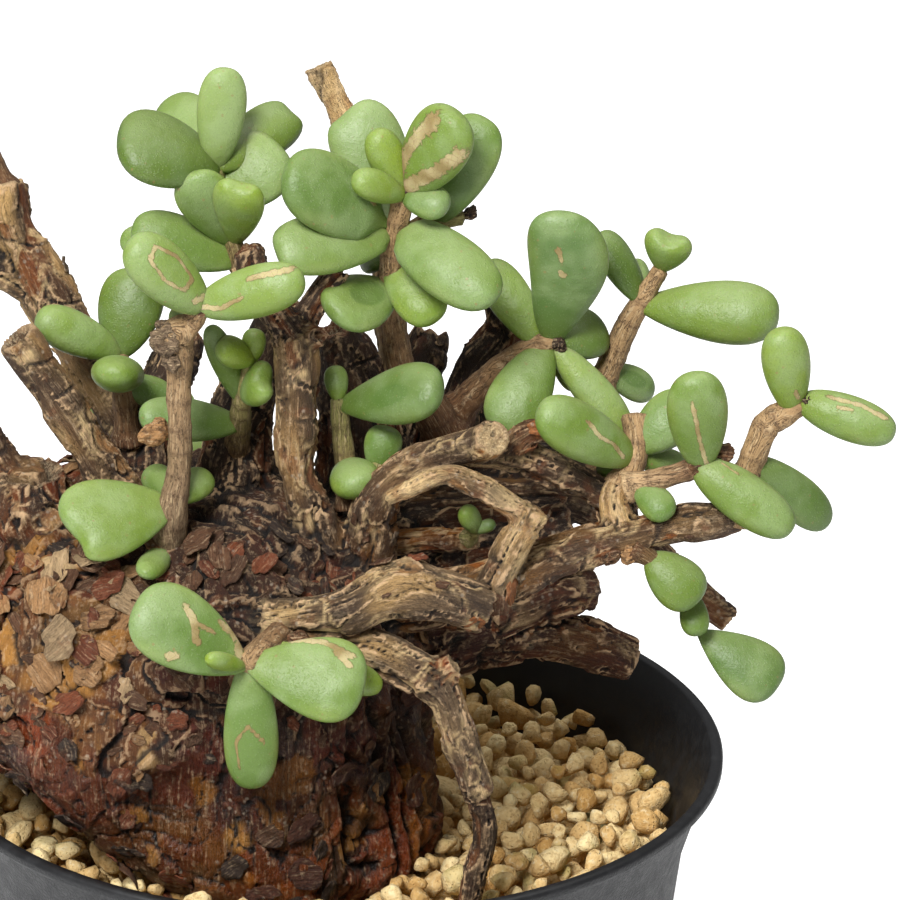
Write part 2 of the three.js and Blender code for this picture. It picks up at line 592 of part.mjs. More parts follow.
// The fill: a plain plug under a layer of grains
function gravel(wood) {
  const top = POT_HEIGHT - GRAVEL_DROP - PLUG_DROP;
  const floor = FLOOR + POT_EDGE + GAP;
  const profile = [
    [0, floor],
    [innerRadius(floor) - GAP, floor],
    [innerRadius(top) - GAP, top],
    [0, top],
  ].map(([radius, height]) => new THREE.Vector2(radius, height));
  const plug = new THREE.LatheGeometry(profile, POT_SIDES);
  plug.rotateX(Math.PI / 2);
  const grains = [];
  const reach = innerRadius(top) - GAP - GRAIN_RADIUS;
  const pitch = GRAIN_SPACING * GRAIN_ROW_PITCH;
  const rows = Math.floor(reach / pitch);
  for (let row = -rows; row <= rows; row += 1) {
    for (let column = -rows; column <= rows; column += 1) {
      const seed = (row + 50) * 101 + column;
      const stray = (number, range) => range * (scatter(seed + number) - 0.5);
      const x = (column + (row % 2) / 2) * GRAIN_SPACING + stray(0, GRAIN_JITTER);
      const y = row * pitch + stray(7, GRAIN_JITTER);
      if (Math.hypot(x, y) < reach) {
        const size = GRAIN_RADIUS * (1 + stray(13, GRAIN_SPREAD));
        const grain = new THREE.IcosahedronGeometry(size, 0);
        grain.scale(1, 1 + stray(29, GRAIN_SPREAD), GRAIN_FLATNESS);
        grain.rotateX(scatter(seed + 17) * Math.PI);
        grain.rotateZ(scatter(seed + 23) * Math.PI);
        grain.translate(x, y, top + stray(31, GRAIN_LEVEL_JITTER));
        grains.push(solid(grain));
      }
    }
  }
  return wasm.Manifold.union([solid(plug), ...grains]).subtract(wood);
}

function mesh(name, manifold, color, roughness) {
  const body = new THREE.Mesh(
    geometryOf(mainBody(manifold)),
    new THREE.MeshStandardMaterial({ color, roughness, metalness: 0 }),
  );
  body.name = name;
  return body;
}

const plant = new THREE.Group();
plant.name = 'potted_ceraria';
const woodWithGap = oldWood(GAP);
plant.add(mesh('pot', pot(), 0x1b1c1e, 0.6));
plant.add(mesh('gravel', gravel(woodWithGap), 0xc8b27e, 0.95));
plant.add(mesh('wood', oldWood(), 0x6d5340, 0.9));

// Each stem seats in the old wood, and is cut clear of the leafy stems before it
let taken = woodWithGap;
for (const [name, rows] of Object.entries(LEAFY_STEMS)) {
  plant.add(mesh(name, leafyStem(rows).subtract(taken), 0x86a862, 0.5));
  taken = taken.add(leafyStem(rows, GAP));
}

export default plant;
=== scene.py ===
# %% [markdown]
# # A potted Ceraria pygmaea
# An old succulent: a swollen, barky caudex, a tangle of bare dead branches, leafy stems with
# thick glaucous leaves in pairs, and a black plastic pot filled with round grains of pumice.
# Everything is made in metres in the same frame as the CAD model, so nothing is fitted later.

# %% Load the frame
import math
import random

import bmesh
import bpy
import numpy as np
from mathutils import Matrix, Vector
from mathutils.kdtree import KDTree


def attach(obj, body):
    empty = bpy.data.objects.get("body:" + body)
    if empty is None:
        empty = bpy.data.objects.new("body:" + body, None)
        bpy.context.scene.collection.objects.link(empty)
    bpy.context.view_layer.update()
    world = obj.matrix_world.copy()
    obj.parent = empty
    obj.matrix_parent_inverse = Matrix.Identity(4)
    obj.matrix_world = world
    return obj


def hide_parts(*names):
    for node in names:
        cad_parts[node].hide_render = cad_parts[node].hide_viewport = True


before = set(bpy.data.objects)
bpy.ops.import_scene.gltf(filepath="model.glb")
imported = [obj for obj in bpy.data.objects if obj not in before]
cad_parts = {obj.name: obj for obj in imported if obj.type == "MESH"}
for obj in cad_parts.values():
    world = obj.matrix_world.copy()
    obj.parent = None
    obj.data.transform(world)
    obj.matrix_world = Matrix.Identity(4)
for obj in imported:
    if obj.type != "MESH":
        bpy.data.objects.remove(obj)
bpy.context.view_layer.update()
scene = bpy.context.scene
MM = 0.001
print("CAD nodes:", len(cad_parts))

# %% [markdown]
# ## Camera
# A long lens from a little above keeps the leaves nearly free of perspective. Its place was
# found from the pot's rim, whose ellipse gives the height of the eye above the horizon.

# %% Camera
CAMERA_DISTANCE = 700.0
CAMERA_ELEVATION = math.radians(22.1)
CAMERA_ROLL = math.radians(1.0)
CAMERA_TARGET = Vector((13.4, 0.0, 111.0))
FOCAL_PIXELS = 6279
FRAME_PIXELS = 900
SENSOR = 36.0

level_up = Vector((0, math.sin(CAMERA_ELEVATION), math.cos(CAMERA_ELEVATION)))
back = Vector((0, -math.cos(CAMERA_ELEVATION), math.sin(CAMERA_ELEVATION)))
right = Vector((math.cos(CAMERA_ROLL), 0, 0)) + math.sin(CAMERA_ROLL) * level_up
up = math.cos(CAMERA_ROLL) * level_up - Vector((math.sin(CAMERA_ROLL), 0, 0))
eye = (CAMERA_TARGET + CAMERA_DISTANCE * back) * MM
camera_data = bpy.data.cameras.new("camera")
camera_data.sensor_width = SENSOR
camera_data.lens = FOCAL_PIXELS / FRAME_PIXELS * SENSOR
camera_data.clip_start = 0.01
camera = bpy.data.objects.new("camera", camera_data)
camera.matrix_world = Matrix.Translation(eye) @ Matrix((right, up, back)).transposed().to_4x4()
scene.collection.objects.link(camera)
scene.camera = camera
print("lens", round(camera_data.lens, 1), "mm")

# %% [markdown]
# ## Floor and light
# The plant stands on a white table under two soft lamps: a key high in front, a little to the
# left, and a broad weak one overhead. The room is white to the eye, but lights only faintly.

# %% Floor and light
ROOM_LIGHT = 0.2
LAMP_AIM = Vector((0, 0, 100))


def lamp(name, place, size, watts):
    """A square soft lamp that faces the plant"""
    data = bpy.data.lights.new(name, "AREA")
    data.size = size
    data.energy = watts
    made = bpy.data.objects.new(name, data)
    spot = Vector(place) * MM
    turn = (LAMP_AIM * MM - spot).to_track_quat("-Z", "Y")
    made.matrix_world = Matrix.Translation(spot) @ turn.to_matrix().to_4x4()
    scene.collection.objects.link(made)


scene.view_settings.view_transform = "Standard"
world = bpy.data.worlds.new("room")
scene.world = world
world.use_nodes = True
sky = world.node_tree.nodes["Background"]
sky.inputs["Color"].default_value = (1, 1, 1, 1)
seen = world.node_tree.nodes.new("ShaderNodeLightPath").outputs["Is Camera Ray"]
level = world.node_tree.nodes.new("ShaderNodeMapRange")
level.inputs["To Min"].default_value = ROOM_LIGHT
level.inputs["To Max"].default_value = 1.0
world.node_tree.links.new(seen, level.inputs["Value"])
world.node_tree.links.new(level.outputs["Result"], sky.inputs["Strength"])
lamp("key", (-300, -760, 950), 0.4, 20.0)
lamp("top", (150, 250, 1300), 0.9, 6.0)
print("lamps", len(bpy.data.lights))

# %% [markdown]
# ## Tools for the workshop
# Small helpers: screen colours to light, a mesh to a finished piece, nodes in a material, and
# noise on a whole array of points at once, which is how bark gets its relief.

# %% Colours and pieces
def colour(red, green, blue):
    """A colour as it shows on a screen, 0 to 255, as the linear light that nodes mix"""
    def linear(level):
        level /= 255
        return level / 12.92 if level < 0.04045 else ((level + 0.055) / 1.055) ** 2.4
    return (linear(red), linear(green), linear(blue), 1.0)


def piece(name, mesh, material, slot, *nodes):
    """Puts a finished mesh in the scene: it rides on the plant and hides the CAD nodes it stands
    for
    """
    made = bpy.data.objects.new(name, mesh)
    scene.collection.objects.link(made)
    mesh.materials.append(material)
    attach(made, "root")
    if nodes:
        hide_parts(*nodes)
    return made


def mesh_of(bm, name, smooth=True):
    """Ends a bmesh: millimetres become metres, and its faces are shaded smooth or flat"""
    bmesh.ops.scale(bm, vec=(MM, MM, MM), verts=bm.verts)
    mesh = bpy.data.meshes.new(name)
    bm.to_mesh(mesh)
    bm.free()
    mesh.shade_smooth() if smooth else mesh.shade_flat()
    return mesh


def with_modifiers(made):
    """The mesh of an object with its modifiers applied. The object itself goes"""
    graph = bpy.context.evaluated_depsgraph_get()
    mesh = bpy.data.meshes.new_from_object(made.evaluated_get(graph))
    bpy.data.objects.remove(made)
    return mesh


def triangles(mesh):
    """How many triangles a mesh comes to"""
    return sum(len(face.vertices) - 2 for face in mesh.polygons)


def store(mesh, name, values):
    """Keeps one number, or one vector or colour, for each point of a mesh"""
    values = np.asarray(values, dtype=np.float32)
    kinds = {1: ("FLOAT", "value"), 3: ("FLOAT_VECTOR", "vector"), 4: ("FLOAT_COLOR", "color")}
    kind, key = kinds[1 if values.ndim == 1 else values.shape[1]]
    layer = mesh.attributes.new(name, kind, "POINT")
    layer.data.foreach_set(key, values.ravel())

# %% Material nodes
def new_material(name):
    """A material with a Principled shader, returned with its node tree and that shader"""
    material = bpy.data.materials.new(name)
    material.use_nodes = True
    tree = material.node_tree
    return material, tree, tree.nodes["Principled BSDF"]


def node(tree, kind, inputs=None, **settings):
    """A node with its settings, whose inputs are numbers or the sockets that feed them"""
    made = tree.nodes.new("ShaderNode" + kind)
    for key, value in settings.items():
        setattr(made, key, value)
    for key, value in (inputs or {}).items():
        if isinstance(value, bpy.types.NodeSocket):
            tree.links.new(value, made.inputs[key])
        else:
            made.inputs[key].default_value = value
    return made


def mix(tree, share, first, second):
    """A colour between two colours"""
    return node(tree, "Mix", {0: share, 6: first, 7: second}, data_type="RGBA").outputs[2]


def maths(tree, work, first, second=0.0, third=0.0):
    """The result of one sum on up to three values"""
    return node(tree, "Math", {0: first, 1: second, 2: third}, operation=work).outputs[0]


def spread(tree, value, low, high, to_low=0.0, to_high=1.0):
    """Stretches the part of a value from low to high over a new range, with soft ends"""
    return node(tree, "MapRange", {"Value": value, "From Min": low, "From Max": high,
                                   "To Min": to_low, "To Max": to_high},
                interpolation_type="SMOOTHSTEP").outputs["Result"]


def coat(tree, base, tone, mask, *limits):
    """A colour over a base by a mask, whose limits are stretched as spread does"""
    return mix(tree, spread(tree, mask, *limits) if limits else mask, base, tone)


def noise(tree, vector, scale, detail=3.0, rough=0.55, warp=0.0):
    """Cloudy noise from 0 to 1"""
    return node(tree, "TexNoise", {"Vector": vector, "Scale": scale, "Detail": detail,
                                   "Roughness": rough, "Distortion": warp}).outputs["Fac"]


def attribute(tree, name, output="Fac"):
    """What the points of the mesh hold under a name"""
    return node(tree, "Attribute", attribute_name=name).outputs[output]


def in_millimetres(tree):
    """Object coordinates, with one unit to the millimetre"""
    coordinates = node(tree, "TexCoord").outputs["Object"]
    return node(tree, "VectorMath", {0: coordinates, "Scale": 1 / MM}, operation="SCALE").outputs[0]


def bump(tree, height, depth, below=None):
    """Relief whose height of 0 to 1 is worth a depth in millimetres, over another relief"""
    inputs = {"Height": height, "Distance": depth * MM, "Strength": 1.0}
    if below is not None:
        inputs["Normal"] = below
    return node(tree, "Bump", inputs).outputs["Normal"]


def finish(tree, shader, base, rough, normal):
    """Feeds the three sockets that vary over a surface"""
    tree.links.new(base, shader.inputs["Base Color"])
    tree.links.new(rough, shader.inputs["Roughness"])
    tree.links.new(normal, shader.inputs["Normal"])

# %% Noise for shapes
AXIS_PRIMES = (73856093, 19349663, 83492791)
SEED_PRIME, SEED_START = 40503, 977
STIR = 73244475
FULL_WORD = 0xFFFFFFFF
WAVE_GAIN = 1.6


def scatter(cells, seed):
    """A repeatable random number from 0 to 1 for each row of whole numbers"""
    x, y, z = (cells[:, axis].astype(np.int64) * prime for axis, prime in enumerate(AXIS_PRIMES))
    mixed = x ^ y ^ z ^ (seed * SEED_PRIME + SEED_START)
    for shift in (15, 13):
        mixed = ((mixed ^ (mixed >> shift)) * STIR) & FULL_WORD
    return (mixed ^ (mixed >> 16)) / FULL_WORD


def waves(points, seed=0):
    """Smooth noise from about -1 to 1, one value for each point"""
    base = np.floor(points).astype(np.int64)
    part = points - base
    fade = part ** 3 * (part * (part * 6 - 15) + 10)
    total = np.zeros(len(points))
    for corner in np.ndindex(2, 2, 2):
        corner = np.array(corner)
        weight = np.prod(np.where(corner, fade, 1 - fade), axis=1)
        pull = np.stack([scatter(base + corner, seed * 3 + axis) for axis in range(3)], 1) * 2 - 1
        total += weight * np.sum(pull * (part - corner), axis=1)
    return total * WAVE_GAIN


def plates(points, seed=0):
    """Cells like the plates of bark. For each point: how near it is to its plate's edge, a
    random number of the plate, and how far the point lies along the plate's own tilt"""
    base = np.floor(points).astype(np.int64)
    nearest = np.full(len(points), 9.0)
    second = np.full(len(points), 9.0)
    chosen = base.copy()
    offset = np.zeros(points.shape)
    for step in np.ndindex(3, 3, 3):
        cell = base + np.array(step) - 1
        centre = cell + np.stack([scatter(cell, seed + axis) for axis in range(3)], 1)
        gap = points - centre
        reach = np.sqrt(np.sum(gap * gap, axis=1))
        closer = reach < nearest
        second = np.where(closer, nearest, np.minimum(second, reach))
        nearest = np.where(closer, reach, nearest)
        chosen[closer] = cell[closer]
        offset[closer] = gap[closer]
    tilt = np.stack([scatter(chosen, seed + 5 + axis) for axis in range(3)], 1) * 2 - 1
    return second - nearest, scatter(chosen, seed + 3), np.sum(offset * tilt, axis=1)


def ease(values, low, high):
    """0 below low, 1 above high, and a soft step between them"""
    share = np.clip((np.asarray(values, dtype=float) - low) / (high - low), 0, 1)
    return share * share * (3 - 2 * share)

# %% [markdown]
# ## The routes of the wood
# Every branch is a short list of points: x, y and z in millimetres, and the radius there. The
# same rows shape the solids of the CAD model. A smooth curve runs through them.

# %% Routes
CAUDEX_RINGS = [
    (-3, -4, 53, 7, 7), (-4, -5, 60, 13, 13), (-5, -7, 67, 17, 19), (-10, -6, 74, 21, 22),
    (-15, -5, 81, 26, 23.5), (-17.5, -4, 88, 29, 25), (-18, -3.5, 95, 28.5, 24),
    (-17, -4, 100, 26, 21), (-16, -4, 104, 22, 17), (-15, -4, 106.5, 15, 12),
    (-15, -4, 107.5, 7, 6)]
CAUDEX_LUMPS = [(3, 0.111, 0.05), (7, -0.2, 0.035)]
CAUDEX_SIDES = 96

OLD_BRANCHES = {
    "far_left_branch": [
        (-18, 4, 100.5, 3.4), (-23, 7, 110, 2.8), (-28, 9, 118.5, 2.8), (-32, 11, 124.5, 3.2),
        (-35.5, 13, 131, 2.6), (-37, 14, 136.5, 2.3)],
    "far_left_fork": [
        (-32, 11, 124, 2.2), (-39, 12, 128, 2.0), (-44, 13, 132, 1.7), (-48, 13, 133, 1.5)],
    "left_stump": [
        (-20, -5, 99, 3.4), (-24, -5, 108.5, 2.8), (-29.5, -5, 118, 2.4), (-34.5, -5, 125.5, 2.3)],
    "left_dead_twig": [
        (-33, -6, 106, 2.4), (-36, -4, 110, 2.0), (-39, -3, 116, 1.5), (-38, -3, 121, 1.0)],
    "left_broken_lobe": [(-28, -8, 99, 7.0), (-33, -7, 106, 5.6), (-33.5, -7, 110.5, 4.4)],
    "middle_trunk": [
        (-10, -1, 98, 5.5), (-11, 0, 106, 4.8), (-10, 1, 114, 3.8), (-8, 1, 121, 2.8),
        (-5, 1, 128, 2.0)],
    "left_trunk": [(-20, 1, 99, 4.6), (-21, 3, 107, 3.8), (-19, 5, 115, 3.0), (-16, 6, 122, 2.2)],
    "inner_trunk": [
        (0, 2, 98, 6.0), (3, 3, 106, 5.4), (3, 4, 113, 4.8), (1.5, 5, 120, 3.6),
        (0.5, 5, 123.5, 2.4)],
    "right_shoulder": [(-2, -1, 97, 8.0), (10, 0, 98, 6.5), (19, 0, 100, 5.0), (27, 1, 102, 3.2)],
    "ringed_branch": [
        (0.5, -9, 97.5, 3.2), (-0.5, -11, 104.5, 2.7), (-3, -11, 111.5, 2.3),
        (-3.5, -11, 118.5, 2.3),
        (-3.5, -11, 125.5, 2.4), (-4, -11, 129, 2.5)],
    "ringed_branch_left_top": [
        (-4, -11, 128.5, 2.0), (-7, -10, 132.5, 1.9), (-8.5, -10, 136.5, 1.9),
        (-9, -10, 138.5, 1.5)],
    "ringed_branch_right_top": [(-3.5, -10, 128.5, 1.8), (-1.5, -8, 131.5, 1.7), (1, -7, 135, 1.5)],
    "ringed_branch_stub": [(-3, -11, 128.5, 1.6), (-0.5, -12, 129, 1.2)],
    "low_arch": [
        (2.5, -10, 97, 4.0), (4.5, -11, 104.5, 3.1), (6, -12, 111, 2.5), (11.5, -12, 115, 2.0),
        (16.5, -14, 117.5, 1.9), (18, -16, 119, 2.0)],
    "low_arch_tail": [
        (15.5, -12, 116, 1.9), (21, -9, 114, 2.0), (26.5, -8, 111.5, 2.0), (31.5, -7, 108, 2.0),
        (33, -8, 105, 2.0)],
    "low_arch_spur": [(19, -10, 115, 1.6), (22.5, -10, 117.5, 1.6), (25.5, -9, 116.5, 0.9)],
    "bleached_twig": [
        (6.5, -17, 112, 0.9), (9.5, -17, 113.5, 1.1), (13, -17, 115, 1.3), (17, -17, 113.5, 1.5),
        (21, -17.5, 111, 1.6)],
    "bleached_elbow": [
        (23, -18, 111.5, 1.6), (21, -18, 108, 2.0), (19, -18, 103.5, 2.0), (18.5, -17, 100, 2.1)],
    "tan_stub": [(3, -7, 102, 1.7), (11.5, -8, 103.5, 1.5), (17, -9, 104, 1.3)],
    "front_arm": [
        (-9, -21, 99, 2.6), (-3.5, -24, 100.5, 2.4), (2, -25, 102, 2.6), (7.5, -24, 104.5, 3.2),
        (12.5, -23, 103.5, 2.9), (17, -21, 101, 2.7)],
    "right_arm": [
        (3, -10, 96, 4.0), (10.5, -14, 99, 3.2), (19, -15, 102, 2.7), (25.5, -14, 104.5, 2.4),
        (33.5, -13, 106.5, 2.2), (41, -12, 108, 2.0), (45.5, -11, 108, 1.6)],
    "right_arm_fork": [(32.5, -13, 106.5, 2.0), (31.5, -11, 110, 1.9), (32.5, -10, 111.5, 1.8)],
    "low_stump": [(10.5, -2, 88.5, 5.0), (19.5, 1, 89, 3.7), (27.5, 3, 87.2, 3.0),
                  (34.5, 4, 84.2, 2.6)],
    "low_stump_knuckle": [(18, -1, 91, 3.4), (26, 2, 93.5, 3.0), (30, 3, 93.5, 2.6)],
    "hanging_arm": [
        (0.5, -22, 96.5, 3.0), (6.5, -25, 97, 2.6), (12.5, -26, 94, 2.3), (14.8, -26, 88.5, 2.0),
        (17.3, -26, 81, 1.8)],
    "hanging_arm_stub": [(11.5, -26, 94.5, 2.0), (14.5, -26, 96.5, 1.5)],
    "hanging_arm_tail": [
        (16.8, -26, 82, 1.5), (18, -26, 76.5, 1.5), (16.8, -26, 70.5, 1.5), (16, -26, 65, 1.5)],
    "back_dark_branch": [
        (3, 3, 97, 4.4), (11.5, 6, 101, 3.6), (14, 8, 110, 3.0), (16.5, 9, 117, 2.9),
        (19.5, 9, 122, 3.0), (18, 9, 127.5, 1.6), (17, 9, 129.5, 0.8)],
    "back_dark_trunk": [(2, 5, 99, 5.0), (6, 7, 108, 3.6), (9.5, 10, 116.5, 2.8),
                        (11, 12, 120.5, 2.2)],
    "back_low_twig": [
        (4, 2, 102, 3.2), (14, 3, 104, 2.6), (26, 4, 103.5, 2.0), (35, 4, 99, 1.9),
        (41, 3, 93.5, 1.6),
        (45.5, 2, 90, 1.7)],
    "back_knot": [
        (4, 6, 99, 4.5), (12, 8, 104, 4.2), (20, 8, 105.5, 3.8), (29, 7, 106, 3.0),
        (36, 5, 104, 2.0)],
    "top_back_stub": [
        (5, 8, 104, 3.0), (6.5, 13, 112, 2.2), (6.5, 15, 120, 1.9), (4.5, 16, 132.5, 1.5),
        (0.8, 16, 144.4, 1.55), (-2, 17, 150.2, 1.8)],
    "back_arm": [(-12, 8, 98, 3.8), (-14, 19, 99, 2.7), (-16, 26, 97, 2.2), (-18, 31, 95, 1.8)],
    "back_right_arm": [(-2, 8, 95, 3.8), (8, 21, 97, 2.4), (12, 27, 95, 2.0)],
    "left_arm": [(-38, -4, 94, 3.4), (-46, -5, 100, 2.6), (-52, -5, 105, 2.2), (-55, -5, 111, 1.8)],
    "left_back_arm": [(-34, 8, 96, 3.2), (-42, 15, 101, 2.6), (-48, 20, 105, 2.0)],
}
